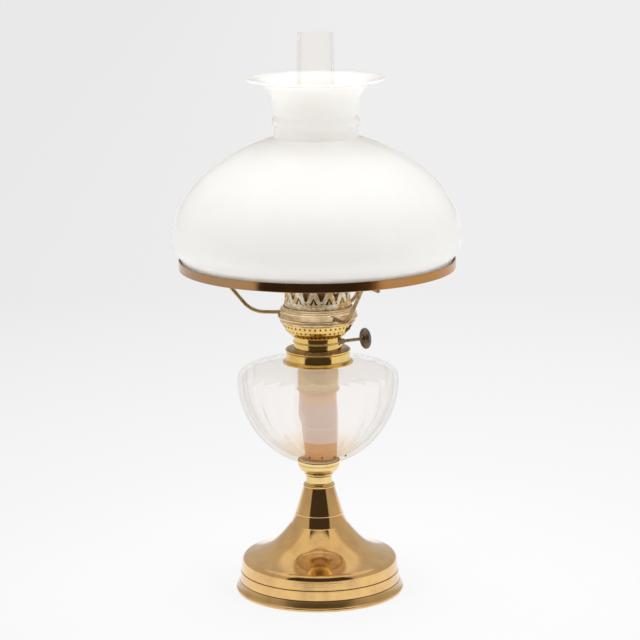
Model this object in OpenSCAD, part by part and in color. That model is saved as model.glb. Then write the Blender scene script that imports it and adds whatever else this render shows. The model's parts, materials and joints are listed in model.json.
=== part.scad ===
// Kerosene table lamp: brass foot, glass oil font, round-wick burner, opal shade on a wire carrier.
// Millimetres, +Z up, origin on the table under the lamp's axis. The knob is on the right.

/* [Foot] */
// Height of the foot from the table to the neck that it carries
foot_h = 95; // [85:0.5:110]
// Radius of the rolled lip on the table
foot_lip_r = 74.6; // [70:0.2:84]
// Height of the rolled lip
foot_lip_h = 4.4; // [3:0.2:6]
// Easing of the lip's lower edge
foot_lip_ease = 0.9; // [0.4:0.1:1.2]
// How far the lip stands out from the banded side
foot_lip_step = 2.6; // [1.5:0.1:4]
// Height of the banded side
foot_side_h = 29.8; // [24:0.2:36]
// How far the banded side leans in from its bottom to its top
foot_side_lean = 3.4; // [1:0.2:6]
// Rounding of the edge between side and top
foot_edge_r = 1.2; // [0.6:0.1:2.5]
// Slope of the top just inside that edge, in degrees
foot_top_slope = 17; // [8:1:24]
// Reach of the sweep from the edge towards the cone
foot_sweep_in = 18; // [12:0.5:24]
// Reach of the sweep from the cone towards the edge
foot_sweep_down = 14.4; // [8:0.4:20]
// Radius where the straight cone meets the sweep
foot_cone_r = 20.3; // [18:0.1:24]
// Height of the straight cone
foot_cone_h = 26.7; // [20:0.5:34]
// Radius at the top of the cone
foot_neck_r = 13.7; // [12.6:0.1:16]
// Height of the small upright rim at the top of the cone
foot_rim_h = 1.6; // [1:0.1:2.4]
// Sheet thickness of the foot
foot_wall = 0.9; // [0.6:0.1:1.4]
// Thickness of the flat on top, under the neck
foot_top_t = 2; // [1.5:0.1:3]
// Height of the lower groove in the side
groove_low_z = 8.9; // [7:0.1:12]
// Height of the upper groove in the side
groove_high_z = 17.6; // [14:0.2:22]
// Height of the lower turned line on the cone
line_low_z = 58.8; // [54:0.2:63]
// Height of the upper turned line on the cone
line_high_z = 69; // [66:0.2:80]
// Radius of the tool that cuts grooves and lines
groove_r = 0.5; // [0.3:0.1:0.8]

/* [Ballast and tie] */
// Thickness of the iron plate in the foot
ballast_t = 7; // [5:0.5:10]
// Height of the plate above the table
ballast_lift = 3; // [2:0.2:5]
// Radius of the plate's boss
ballast_boss_r = 17; // [14.5:0.5:24]
// Height of the boss above the plate
ballast_boss_h = 5; // [3:0.5:9]
// Radius of the pocket for washer and nut
nut_pocket_r = 12; // [10.5:0.2:13.5]
// Radius of the tie rod
tie_r = 3; // [2.5:0.1:3.5]
// Width of the nuts across their flats
nut_af = 10; // [9:0.5:12]
// Thickness of each nut
nut_t = 4; // [3:0.1:5]
// Length of rod that shows past each nut
tie_over = 0.8; // [0.4:0.1:1.2]
// Radius of the washer
washer_r = 9; // [7:0.2:10]
// Thickness of the washer
washer_t = 1.5; // [1:0.1:2]

/* [Cup] */
// Radius of the plain neck
cup_neck_r = 11.6; // [10.5:0.1:12.5]
// Height of the plain neck
cup_neck_h = 9; // [6:0.5:14]
// Radius of the bead above the neck
cup_bead_r = 1.2; // [0.8:0.1:1.6]
// Thickness of the cup's floor above the bead
cup_floor_t = 0.5; // [0.4:0.1:2]
// Radius of the cup at its rim
cup_r = 18.6; // [17.8:0.1:21]
// How far the rim band stands out from the cup
cup_band_w = 0.4; // [0.2:0.1:0.8]
// Height of the rim band
cup_rim_h = 3; // [2:0.1:4]
// Radius of the socket for the font
cup_socket_r = 15.4; // [14.4:0.1:16.2]
// Depth of the socket for the font
cup_socket_h = 5.6; // [5:0.1:8]

/* [Font] */
// Largest radius of the font
font_r = 71; // [62:0.5:80]
// Height of the font from the cup's rim to the root of its neck
font_h = 88; // [78:0.5:100]
// How far the widest place lies below the root of the neck
font_widest_drop = 14.5; // [11:0.5:20]
// Radius where the flat top turns into the shoulder
font_shoulder_r = 53; // [46:0.5:57]
// Fall of the flat top from the neck to the shoulder
font_top_fall = 2; // [1:0.1:4]
// How far the underside of the bowl runs out before it turns up
font_bowl_out = 28.8; // [20:0.2:34]
// Rise of the underside over that run
font_bowl_rise = 8.8; // [5:0.2:14]
// Length of the nearly upright side of the bowl
font_bowl_side = 34; // [24:0.5:44]
// Rise of the shoulder above the widest place before it turns in
font_shoulder_up = 8; // [5:0.2:10]
// Run of the shoulder out from the flat top before it turns down
font_shoulder_out = 9.9; // [6:0.1:14]
// Thickness of the glass
font_wall = 4; // [3:0.1:5]
// Radius of the flat that rests on the cup's rim
font_seat_r = 19.5; // [18.7:0.1:22]
// Radius of the peg below the font
font_peg_r = 12.5; // [10:0.1:13.5]
// Length of the peg
font_peg_h = 4; // [3:0.1:4.6]
// Outer radius of the font's neck
font_neck_r = 24.5; // [23.6:0.1:25.4]
// Inner radius of the font's neck
font_bore_r = 20.5; // [19.5:0.1:21.4]
// Number of flutes round the font
flutes = 24; // [12:1:28]
// Depth of a flute
flute_depth = 1.5; // [0.5:0.1:2.4]
// Turn of the flutes from the front, in degrees
flute_turn = 4; // [0:0.5:15]
// Radius where the flutes run out under the bowl
flute_end_r = 38; // [30:0.5:46]
// Length over which a flute runs out
flute_fade = 8; // [4:0.5:12]

/* [Collar] */
// Height of the collar
collar_h = 14; // [12:0.2:18]
// Radius of the collar
collar_r = 27.8; // [27.2:0.1:30]
// How far the foot flange of the collar stands out
collar_flange_w = 2.7; // [1:0.1:4]
// Thickness of the foot flange
collar_flange_t = 1.4; // [0.8:0.1:2]
// Easing of the flange's edge
collar_ease = 0.4; // [0.2:0.1:0.6]
// How far the top rim stands out
collar_rim_w = 0.6; // [0.3:0.1:1.2]
// Height of the top rim
collar_rim_h = 3.8; // [2:0.1:5]
// Radius of the threaded bore for the burner
thread_r = 23; // [22.2:0.1:23.4]
// Length of the threaded bore
thread_h = 7.3; // [7.1:0.1:9]
// Radius inside which the cement lies
cement_r = 26.6; // [25.8:0.1:26.9]

/* [Burner] */
// Thickness of the flange on the collar
flange_t = 1.3; // [0.8:0.1:2]
// Radius of the flange on the collar
flange_r = 27.2; // [25:0.1:27.6]
// Inner radius of the threaded skirt
skirt_r = 21.6; // [21:0.1:22]
// Length of the threaded skirt
skirt_h = 6.8; // [6:0.1:7]
// Outer radius of the guard tube below the burner
guard_r = 17.8; // [17.4:0.1:18.4]
// Length of the guard tube below the flange
guard_len = 40; // [30:0.5:50]
// Width of the rolled lip of the guard tube
guard_lip_w = 0.8; // [0.4:0.1:1.2]
// Height of that lip
guard_lip_h = 1.6; // [1:0.1:3]
// Room between the spindle's bush and the outside of the cylinder that houses the wheels
body_room = 3.2; // [1.4:0.1:3.6]
// Height of that cylinder
body_h = 8; // [7.6:0.1:9]
// Height of its bead above the flange
body_bead_z = 4; // [2:0.1:6]
// Radius of the bead's section
body_bead_r = 0.6; // [0.4:0.1:0.9]
// Sheet thickness of the burner
burner_wall = 0.6; // [0.4:0.1:0.8]
// Radius of the basket at its top
basket_r = 31; // [29.5:0.1:32]
// Height of the basket
basket_h = 13.8; // [13.4:0.2:16]
// Run of the basket's flare out from the cylinder
basket_flare_out = 3.9; // [2:0.1:6]
// Rise of the flare over that run
basket_flare_up = 2; // [1:0.1:3]
// Height of the basket's nearly upright part
basket_upright = 6; // [4:0.1:8]
// Number of openings in each row of the basket
basket_holes = 42; // [24:1:44]
// Radius of the round holes
basket_hole_r = 0.9; // [0.5:0.05:1]
// Height of the lower row of holes in the basket
basket_row_low = 7.1; // [6.6:0.1:7.8]
// Height of the upper row of holes in the basket
basket_row_high = 11.3; // [10.8:0.1:11.8]
// Height of the row of pointed openings
basket_row_points = 3.1; // [2.8:0.1:3.4]
// Width of a triangular cut in the lowest row
basket_point_w = 2.4; // [1.2:0.1:2.6]
// Height of a triangular cut in the lowest row
basket_point_h = 3.4; // [2:0.1:3.6]
// Radius of the plate on the basket
plate_r = 32.8; // [32.4:0.1:34]
// Inner radius of that plate
plate_bore_r = 24.5; // [20:0.1:26]
// Thickness of that plate
plate_t = 0.9; // [0.6:0.1:1.4]

/* [Gallery] */
// Radius of the gallery
gallery_r = 28.7; // [28:0.1:28.8]
// Height of its plain lower part
gallery_base_h = 17; // [16:0.2:20]
// Height of the pierced crown
crown_h = 17; // [14:0.2:20]
// Number of tongues round the crown
tongues = 13; // [10:1:14]
// Turn of the crown from the front, in degrees
crown_turn = -7; // [-13:0.5:13]
// Width of a tongue at its tip
tongue_tip_w = 1.8; // [1.6:0.1:4]
// Height of the gaps' rounded ends above the plain part
gap_end_z = 5.4; // [4.6:0.1:7]
// Radius of the gaps' rounded ends
gap_end_r = 1.5; // [0.8:0.1:2]
// Half spread of a chevron opening
chevron_w = 3.6; // [2.6:0.1:3.8]
// Height of a chevron opening
chevron_h = 6.2; // [4:0.1:7]
// Width of a chevron's legs
chevron_t = 2.2; // [0.7:0.1:2.4]
// Height of a chevron's point above the notch between its legs
chevron_point = 2.4; // [1.4:0.1:3]
// Height of the chevrons above the plain part
chevron_z = 1.2; // [0.8:0.1:2]
// Radius of the small hole under each gap
pierce_r = 0.8; // [0.4:0.1:1.1]
// Height of the small holes above the plain part
pierce_z = 2; // [1.4:0.1:2.6]
// Radius of the two beads' section
gallery_bead_r = 0.7; // [0.4:0.05:0.75]
// Height of the chimney's seat above the plate
seat_z = 15.4; // [14:0.2:15.8]
// Inner radius of the chimney's seat
seat_bore_r = 23; // [21:0.1:23.8]

/* [Wick and winder] */
// Inner radius of the wick in the burner
wick_in_r = 9.6; // [9:0.1:10]
// Thickness of the wick
wick_t = 2.4; // [1.8:0.1:2.8]
// Outer radius of the wick where it hangs in the oil
wick_hang_r = 16.6; // [15:0.1:16.8]
// Arc of the wick round its tube, in degrees
wick_arc = 290; // [260:1:300]
// Gap between the wick's end and the bottom of the font
wick_end_gap = 1.5; // [1:0.1:20]
// Length of the wick below the flange before it opens out
wick_straight_len = 13; // [12:0.5:20]
// Length over which the wick opens out
wick_open_len = 17; // [10:0.5:30]
// Clearance between the wick and its tubes
wick_fit = 0.25; // [0.15:0.05:0.4]
// Height of the wick tubes above the chimney's seat
tube_rise = 11.5; // [8:0.5:18]
// How far the inner tube and the wick stay below the outer tube
tube_step = 1.5; // [0.5:0.1:3]
// Length of the inner tube below the flange
inner_tube_drop = 12; // [6:0.5:12]
// Width of the air duct
duct_w = 7; // [4:0.1:8]
// Height of the air duct
duct_h = 6; // [4:0.1:6]
// Height of the duct above the body's floor
duct_z = 0.8; // [0.4:0.1:1]
// Radius of the toothed wheels
wheel_r = 3.6; // [3:0.1:3.7]
// Depth of the wheels' teeth
wheel_tooth = 0.9; // [0.5:0.1:1.1]
// Number of teeth on a wheel
wheel_teeth = 12; // [8:1:16]
// Thickness of a wheel
wheel_t = 1.5; // [1:0.1:2]
// Distance between the wheels
wheel_gap = 3.4; // [2.4:0.1:4.4]
// Clearance between the wheels' tips and the wick
wheel_fit = 0.2; // [0.1:0.05:0.4]
// Direction of the spindle in plan, in degrees from the right
spindle_turn = 28; // [10:1:45]
// Height of the spindle above the burner's flange
spindle_z = 4.6; // [4.5:0.1:4.9]
// Radius of the spindle
spindle_r = 1.4; // [1:0.1:1.6]
// Length of the spindle from the wheels' middle to its outer end
spindle_len = 40; // [34:0.5:50]
// Outer radius of the spindle's bush
bush_r = 2.3; // [2:0.1:2.6]
// Length of the bush outside the cylinder
bush_out = 0.8; // [0.5:0.1:5]
// Length of the bush inside the cylinder
bush_in = 1; // [0.5:0.1:2]
// Width of the inner bearing post
post_w = 4.4; // [4:0.1:4.6]
// Thickness of the inner bearing post
post_t = 2.4; // [1.6:0.1:2.6]
// Radius of the knob
knob_r = 9.3; // [7:0.1:12]
// Thickness of the knob's rim
knob_rim_t = 2.4; // [1.8:0.1:3.5]
// Thickness of the knob's dished web
knob_web_t = 1.2; // [0.8:0.1:1.6]
// Radius of the knob's hub
knob_hub_r = 2.8; // [2.4:0.1:4]
// Length of the knob's hub
knob_hub_h = 5; // [4:0.1:8]
// Number of notches round the knob
knob_notches = 40; // [24:1:44]

/* [Chimney] */
// Height of the chimney
chimney_h = 235; // [215:1:280]
// Outer radius of the chimney's foot
chimney_foot_r = 26; // [25:0.1:27]
// Height of the chimney's foot
chimney_foot_h = 34; // [28:0.5:44]
// Height of the shoulder above the foot
chimney_shoulder_h = 13; // [9:0.5:20]
// Outer radius of the tube above the shoulder
chimney_tube_r = 18.5; // [17.5:0.1:21]
// Outer radius at the top
chimney_top_r = 15.5; // [14:0.1:18]
// Thickness of the chimney's glass
chimney_wall = 1.8; // [1.2:0.1:2.2]

/* [Shade carrier] */
// Largest radius of the carrier's collar
carrier_r = 35.3; // [34.4:0.1:37]
// Height of that widest place above the plate
carrier_wide_z = 3.9; // [3:0.1:5]
// Height of the carrier's collar
carrier_h = 13; // [12.2:0.1:13.4]
// Height of the stepped top of the carrier's collar
carrier_top_h = 3.6; // [3:0.1:4]
// How far the cone under that top draws in
carrier_cone_w = 1.3; // [0.6:0.1:2]
// Width of the step at the foot of that top
carrier_step_w = 0.8; // [0.5:0.1:1.2]
// Sheet thickness of the carrier's collar
carrier_wall = 0.9; // [0.6:0.1:1.2]
// Clearance between the carrier and the gallery's beads
carrier_fit = 0.35; // [0.3:0.05:0.6]
// Width of the foot that stands on the plate
carrier_foot_w = 1.2; // [0.8:0.1:1.5]
// Height of the arms above the plate
arm_z = 6.6; // [5.4:0.1:6.8]
// Radius of the wire
wire_r = 1.6; // [1:0.1:1.8]
// Distance from the axis to the lower corner of an arm
arm_corner_r = 57.7; // [50:0.5:64]
// Slope of the arms, in degrees
arm_slope = 50; // [42:1:60]
// Radius of the lower bend
arm_low_bend = 24; // [8:0.5:26]
// Radius of the upper bend
arm_high_bend = 10; // [6:0.5:14]
// How far the arms' ends stay inside the ring's outer face
arm_end_w = 3.5; // [2.5:0.5:8]
// Turn of the carrier from the left, in degrees
carrier_turn = -4.5; // [-10:0.5:20]
// Height of the shade ring above the plate
ring_rise = 47; // [42:0.5:56]
// Outer radius of the shade ring
ring_r = 120.5; // [116:0.5:128]
// Height of the ring's upright band
ring_h = 8; // [5:0.2:9]
// Sheet thickness of the ring
ring_t = 1; // [0.6:0.1:1.4]
// Width of the ledge that the shade stands on
ring_ledge_w = 11; // [8:0.5:16]

/* [Shade] */
// Height of the shade
shade_h = 163.6; // [150:0.2:180]
// How far the shade swells out from its lower rim
shade_swell = 9.2; // [6:0.2:14]
// Height of the widest place above the shade's lower rim
shade_wide_z = 25.6; // [20:0.2:32]
// Clearance between the shade's lower rim and the ring's band
shade_fit = 2.5; // [2.2:0.1:3.5]
// Height of the dome above the lower rim
dome_h = 113; // [104:0.5:122]
// Radius of the neck at its root
shade_neck_r = 36.8; // [34:0.2:40]
// How far the bead stands out from the neck
shade_bead_w = 2; // [1:0.1:3]
// Height of the bead above the dome
shade_bead_z = 13.3; // [11:0.1:16]
// Half height of the bead
shade_bead_h = 5.5; // [4:0.1:7]
// How far the waists beside the bead are drawn in
shade_waist = 0.6; // [0.2:0.1:1.2]
// Reach of the dome's curve out from the neck
dome_reach = 49; // [34:0.5:54]
// Fall of the dome's curve over that reach
dome_fall = 15; // [10:0.5:24]
// Rise of the dome's curve above the widest place
dome_side = 38; // [26:0.5:44]
// Radius of the flared top
shade_top_r = 59.5; // [52:0.2:66]
// Height over which the neck runs straight before it flares
flare_straight = 15; // [10:0.5:20]
// Run of the flare before it turns out flat
flare_run = 4.2; // [2:0.2:8]
// Thickness of the flared lip
shade_lip_t = 1.8; // [1.2:0.1:2.2]
// Thickness of the opal glass
shade_wall = 3; // [2.2:0.1:3.4]

/* [Clearances] */
// Clearance between the cement and the glass
cement_fit = 0.1; // [0.05:0.05:0.2]
// Clearance round the tie rod
tie_fit = 0.2; // [0.1:0.05:0.4]
// Clearance between the ballast plate and the foot
ballast_fit = 0.3; // [0.2:0.05:0.6]
// Clearance of the burner's thread in the collar
thread_fit = 0.08; // [0.05:0.01:0.1]
// Clearance of the spindle in its bearings
run_fit = 0.05; // [0.02:0.01:0.1]
// Clearance of the wheels in the slots of the outer tube
slot_fit = 0.4; // [0.3:0.05:0.6]

/* [Hidden] */
$fn = 96;
// A cut runs this far past the faces that it opens.
past = 1;
// The carrier has one node for each arm.
arms = 3;

// Colours of the metals, glass and textile
brass = "#c99b45";
dark_brass = "#8f6a36";
worn_brass = "#b7a98a";
iron = "#4a4a48";
steel = "#6d6a66";
clear_glass = "#dfe6e4";
opal_glass = "#f4f1ea";
cement = "#d8d2c4";
cotton = "#c9a98e";

// Heights of the stack, from the table up
tie_seat_z = ballast_lift + ballast_t;
cup_bead_z = foot_h + cup_neck_h + cup_bead_r;
cup_floor_z = cup_bead_z + cup_bead_r + cup_floor_t;
tie_top_z = cup_floor_z + nut_t + tie_over;
cup_rim_z = tie_top_z + tie_fit + cup_socket_h;
font_top_z = cup_rim_z + font_h;
font_widest_z = font_top_z - font_widest_drop;
collar_top_z = font_top_z + collar_h;
font_neck_z = collar_top_z - thread_h;
body_z = collar_top_z + flange_t;
body_floor_z = body_z + burner_wall;
body_top_z = body_z + body_h;
basket_top_z = body_top_z + basket_h;
plate_z = basket_top_z + plate_t;
crown_z = plate_z + gallery_base_h;
chimney_z = plate_z + seat_z;
tube_top_z = chimney_z + tube_rise;
ring_z = plate_z + ring_rise;
shade_z = ring_z + ring_t;
axle_z = body_z + spindle_z;

// Radii that follow from fits
foot_side_r = foot_lip_r - foot_lip_step;
foot_top_r = foot_side_r - foot_side_lean;
tie_bore_r = tie_r + tie_fit;
gallery_bead_out = gallery_r + gallery_bead_r;
carrier_bore_r = gallery_bead_out + carrier_fit;
tube_in_r = wick_in_r - wick_fit;
wick_out_r = wick_in_r + wick_t;
tube_out_r = wick_out_r + wick_fit;
tube_out_face = tube_out_r + burner_wall;
spindle_off = wick_out_r + wheel_fit + wheel_r;
body_r = spindle_off + bush_r + body_room;
// Along the spindle, the bush spans the cylinder's wall from its inner to its outer face.
bush_entry = sqrt(pow(body_r - burner_wall, 2) - pow(spindle_off + bush_r, 2));
bush_exit = sqrt(pow(body_r, 2) - pow(spindle_off - bush_r, 2));
shade_rim_r = ring_r - ring_t - shade_fit;
shade_r = shade_rim_r + shade_swell;
arm_end_r = ring_r - arm_end_w;

// Curve and wall helpers
function smooth(t) = let(c = max(0, min(1, t))) c * c * (3 - 2 * c);
function reversed(list) = [for (i = [len(list) - 1:-1:0]) list[i]];
function tail(list) = [for (i = [1:len(list) - 1]) list[i]];
function bezier(a, b, c, d, n) =
    [for (i = [0:n]) let(t = i / n, s = 1 - t)
        s * s * s * a + 3 * s * s * t * b + 3 * s * t * t * c + t * t * t * d];
// Unit vector to the left of a path, which is the inner side of an outline that runs upwards.
function inward(path, i) =
    let(d = path[min(i + 1, len(path) - 1)] - path[max(i - 1, 0)]) [-d.y, d.x] / norm(d);
function inset(path, wall) = [for (i = [0:len(path) - 1]) path[i] + wall * inward(path, i)];
function side_r_at(z) =
    foot_side_r - foot_side_lean * (z - foot_lip_h) / (foot_side_h - foot_lip_h);
// Radius of an outline at a height, by interpolation.
function radius_at(path, z) = lookup(z, [for (p = path) [p.y, p.x]]);

// Sheet or glass of even thickness inside an outline
module spun(path, wall)
    rotate_extrude() polygon(concat(path, reversed(inset(path, wall))));

module turned_line(r, z)
    rotate_extrude() translate([r + groove_r / 3, z]) circle(groove_r);

module tube(z0, z1, r_out, r_in)
    translate([0, 0, z0]) difference() {
        cylinder(h = z1 - z0, r = r_out);
        translate([0, 0, -past]) cylinder(h = z1 - z0 + 2 * past, r = r_in);
    }

// A run of children round the axis
module around(n, turn = 0)
    for (i = [0:n - 1]) rotate([0, 0, turn + 360 * i / n]) children();

// Moves a flat shape drawn as width and height onto the +X side, cutting outwards from r.
module radial_cut(r, depth)
    translate([r, 0, 0]) rotate([90, 0, 90]) linear_extrude(depth) children();

// Outline of the foot: lip, banded side, edge, sweep and cone
foot_cone_z = foot_h - foot_cone_h;
foot_cone_dir = [foot_cone_r - foot_neck_r, foot_rim_h - foot_cone_h]
    / norm([foot_cone_r - foot_neck_r, foot_rim_h - foot_cone_h]);
foot_brow = [foot_top_r - foot_edge_r, foot_side_h + foot_edge_r * sin(foot_top_slope)];
foot_brow_dir = [-cos(foot_top_slope), sin(foot_top_slope)];
foot_lip_path = concat(
    [[foot_lip_r - foot_lip_ease, 0], [foot_lip_r, foot_lip_ease]],
    bezier([foot_lip_r, foot_lip_h / 2], [foot_lip_r, foot_lip_h],
        [foot_side_r + foot_lip_step / 2, foot_lip_h], [foot_side_r, foot_lip_h], 5));
foot_side_path = concat(
    [[foot_side_r, foot_lip_h]],
    bezier([side_r_at(foot_side_h - foot_edge_r), foot_side_h - foot_edge_r], [foot_top_r, foot_side_h],
        foot_brow - foot_edge_r / 2 * foot_brow_dir, foot_brow, 4));
foot_sweep_path = bezier(foot_brow, foot_brow + foot_sweep_in * foot_brow_dir,
    [foot_cone_r, foot_cone_z] + foot_sweep_down * foot_cone_dir, [foot_cone_r, foot_cone_z], 16);
foot_skin = concat(foot_side_path, tail(foot_sweep_path),
    [[foot_neck_r, foot_h - foot_rim_h]]);

module foot_shell() color(brass) difference() {
    rotate_extrude() polygon(concat(
        foot_lip_path, tail(foot_skin),
        [[foot_neck_r, foot_h], [tie_bore_r, foot_h], [tie_bore_r, foot_h - foot_top_t]],
        reversed(inset(foot_skin, foot_wall)), [[foot_side_r - foot_wall, 0]]));
    for (z = [groove_low_z, groove_high_z])
        turned_line(side_r_at(z), z);
    for (z = [line_low_z, line_high_z])
        turned_line(radius_at(foot_skin, z), z);
}

module ballast_plate() color(iron) difference() {
    union() {
        translate([0, 0, ballast_lift])
            cylinder(h = ballast_t, r = side_r_at(tie_seat_z) - foot_wall - ballast_fit);
        translate([0, 0, tie_seat_z])
            cylinder(h = ballast_boss_h, r = ballast_boss_r);
    }
    translate([0, 0, ballast_lift - past])
        cylinder(h = ballast_t + past, r = nut_pocket_r);
    cylinder(h = foot_h, r = tie_bore_r);
}

tie_low_z = tie_seat_z - washer_t - nut_t - tie_over;

module tie_rod() color(steel)
    translate([0, 0, tie_low_z]) cylinder(h = tie_top_z - tie_low_z, r = tie_r);

module tie_washer() color(steel)
    tube(tie_seat_z - washer_t, tie_seat_z, washer_r, tie_bore_r);

module hex_nut(z) translate([0, 0, z]) difference() {
    cylinder(h = nut_t, d = nut_af / cos(30), $fn = 6);
    translate([0, 0, -past]) cylinder(h = nut_t + 2 * past, r = tie_r);
}

module tie_nuts() color(steel) {
    hex_nut(tie_seat_z - washer_t - nut_t);
    hex_nut(cup_floor_z);
}

// Cup: plain neck, bead, bowl and rim band outside; floor for the nut and socket for the font inside
cup_root_z = cup_bead_z + cup_bead_r;
cup_bowl_r = cup_r - cup_band_w;
cup_root_r = cup_neck_r + cup_bead_r;
cup_band_z = cup_rim_z - cup_rim_h;
cup_outline = concat(
    [[cup_neck_r, foot_h]],
    [for (a = [-90:30:90]) [cup_neck_r + cup_bead_r * cos(a), cup_bead_z + cup_bead_r * sin(a)]],
    bezier([cup_root_r, cup_root_z + cup_bead_r / 2], [cup_socket_r + cup_bead_r, cup_root_z + cup_bead_r],
        [cup_bowl_r, (cup_root_z + cup_band_z) / 2], [cup_bowl_r, cup_band_z], 8),
    [[cup_r, cup_band_z], [cup_r, cup_rim_z - cup_band_w], [cup_bowl_r, cup_rim_z]]);

module font_cup() color(brass)
    rotate_extrude() polygon(concat(cup_outline, [
        [cup_socket_r, cup_rim_z], [cup_socket_r, cup_rim_z - cup_socket_h],
        [nut_af / 2 / cos(30) + tie_over, cup_floor_z], [tie_bore_r, cup_floor_z], [tie_bore_r, foot_h]]));

module cup_plaster() color(cement) difference() {
    translate([0, 0, cup_rim_z - cup_socket_h]) cylinder(h = cup_socket_h, r = cup_socket_r);
    translate([0, 0, cup_rim_z - font_peg_h]) cylinder(h = font_peg_h + past, r = font_peg_r + cement_fit);
}

// Font: the bowl and shoulder follow two curves, and the flutes press in along their normals
font_shoulder = [font_shoulder_r, font_top_z - font_top_fall];
font_widest = [font_r, font_widest_z];
font_bowl_path = bezier([font_seat_r, cup_rim_z], [font_seat_r + font_bowl_out, cup_rim_z + font_bowl_rise],
    font_widest - [0, font_bowl_side], font_widest, 11);
font_shoulder_path = bezier(font_widest, font_widest + [0, font_shoulder_up],
    font_shoulder + [font_shoulder_out, -font_top_fall / 2], font_shoulder, 6);
font_side = concat(font_bowl_path, tail(font_shoulder_path));
flute_steps = 6;
font_sides = flutes * flute_steps;
function flute_share(p) = p.y < font_widest_z
    ? smooth((p.x - flute_end_r) / flute_fade)
    : smooth((p.x - font_shoulder_r) / flute_fade);
function flute_press(k) = flute_depth * (1 - abs(cos(180 * k / flute_steps)));
function font_ring(p, n, share) = [for (k = [0:font_sides - 1])
    let(a = flute_turn - 90 + 360 * k / font_sides, q = p + share * flute_press(k) * n)
        [q.x * cos(a), q.x * sin(a), q.y]];
function plain_ring(r, z) = font_ring([r, z], [0, 0], 0);
font_rings = concat(
    [plain_ring(font_peg_r, cup_rim_z - font_peg_h), plain_ring(font_peg_r, cup_rim_z)],
    [for (i = [0:len(font_side) - 1])
        font_ring(font_side[i], inward(font_side, i), flute_share(font_side[i]))],
    [plain_ring(font_neck_r, font_top_z), plain_ring(font_neck_r, font_neck_z)]);

// Solid of stacked rings with the same number of points, closed by its first and last ring
module lofted(rings) {
    n = len(rings[0]);
    m = len(rings);
    polyhedron(
        points = [for (ring = rings) each ring],
        faces = concat(
            [for (i = [0:m - 2], k = [0:n - 1]) [i * n + k, (i + 1) * n + k, (i + 1) * n + (k + 1) % n]],
            [for (i = [0:m - 2], k = [0:n - 1]) [i * n + k, (i + 1) * n + (k + 1) % n, i * n + (k + 1) % n]],
            [[for (k = [0:n - 1]) k]],
            [[for (k = [n - 1:-1:0]) (m - 1) * n + k]]));
}

font_inner = inset(font_side, font_wall);

module font_cavity()
    rotate_extrude() polygon(concat([[0, font_inner[0].y]], font_inner, [
        [font_bore_r, font_top_z - font_wall], [font_bore_r, font_neck_z + past], [0, font_neck_z + past]]));

module font_glass() color(clear_glass, 0.45) difference() {
    lofted(font_rings);
    font_cavity();
}

module collar_plaster() color(cement)
    tube(font_top_z, font_neck_z, cement_r, font_neck_r + cement_fit);

module font_collar() color(brass)
    rotate_extrude() polygon([
        [cement_r, font_top_z], [collar_r + collar_flange_w, font_top_z],
        [collar_r + collar_flange_w, font_top_z + collar_flange_t - collar_ease],
        [collar_r + collar_flange_w - collar_ease, font_top_z + collar_flange_t],
        [collar_r + collar_rim_w, font_top_z + collar_flange_t],
        [collar_r, font_top_z + collar_flange_t + collar_rim_w],
        [collar_r, collar_top_z - collar_rim_h - collar_rim_w],
        [collar_r + collar_rim_w, collar_top_z - collar_rim_h],
        [collar_r + collar_rim_w, collar_top_z - collar_rim_w], [collar_r, collar_top_z],
        [thread_r, collar_top_z], [thread_r, font_neck_z], [cement_r, font_neck_z]]);

module burner_flange() color(brass) difference() {
    union() {
        tube(collar_top_z, body_z, flange_r, guard_r);
        tube(collar_top_z - skirt_h, collar_top_z, thread_r - thread_fit, skirt_r);
    }
    for (share = [1, 2])
        turned_line(body_r + share * (flange_r - body_r) / 3, body_z);
}

guard_end_z = body_z - guard_len;

module wick_guard_tube() color(brass) {
    tube(guard_end_z, body_z, guard_r, guard_r - burner_wall);
    tube(guard_end_z, guard_end_z + guard_lip_h, guard_r + guard_lip_w, guard_r - burner_wall);
}

// Places children along the spindle, with its own +Z running out to the knob
module on_spindle()
    rotate([0, 0, spindle_turn]) translate([0, -spindle_off, axle_z]) rotate([0, 90, 0]) children();

module duct_block(w, h)
    translate([-w / 2, 0, body_floor_z + duct_z + (duct_h - h) / 2]) cube([w, body_r + past, h]);

module burner_body() color(brass) difference() {
    union() {
        tube(body_z, body_top_z, body_r, body_r - burner_wall);
        tube(body_z, body_floor_z, body_r, tube_out_face);
        rotate_extrude() translate([body_r, body_z + body_bead_z]) intersection() {
            circle(body_bead_r);
            translate([-burner_wall / 2, -body_bead_r]) square([body_bead_r * 2, body_bead_r * 2]);
        }
    }
    duct_block(duct_w, duct_h);
    on_spindle() cylinder(h = spindle_len, r = bush_r);
}

module wick_tube_outer() color(brass) difference() {
    tube(body_z, tube_top_z, tube_out_face, tube_out_r);
    duct_block(duct_w, duct_h);
    for (side = [-1, 1])
        on_spindle() translate([0, 0, side * (wheel_gap + wheel_t) / 2])
            cylinder(h = wheel_t + 2 * slot_fit, r = wheel_r + slot_fit, center = true);
}

module wick_tube_inner() color(brass) difference() {
    tube(body_z - inner_tube_drop, tube_top_z - tube_step, tube_in_r, tube_in_r - burner_wall);
    duct_block(duct_w - 2 * burner_wall, duct_h - 2 * burner_wall);
}

module air_duct() color(dark_brass) difference() {
    intersection() {
        duct_block(duct_w, duct_h);
        cylinder(h = body_top_z, r = body_r);
    }
    duct_block(duct_w - 2 * burner_wall, duct_h - 2 * burner_wall);
    cylinder(h = body_top_z, r = tube_in_r);
}

post_far = -(wheel_gap / 2 + wheel_t + slot_fit + post_t);

module spindle_post() color(dark_brass) difference() {
    rotate([0, 0, spindle_turn])
        translate([post_far, -spindle_off - post_w / 2, body_floor_z])
            cube([post_t, post_w, axle_z - body_floor_z + post_w / 2]);
    on_spindle() translate([0, 0, post_far - past])
        cylinder(h = post_t + 2 * past, r = spindle_r + run_fit);
}

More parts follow.
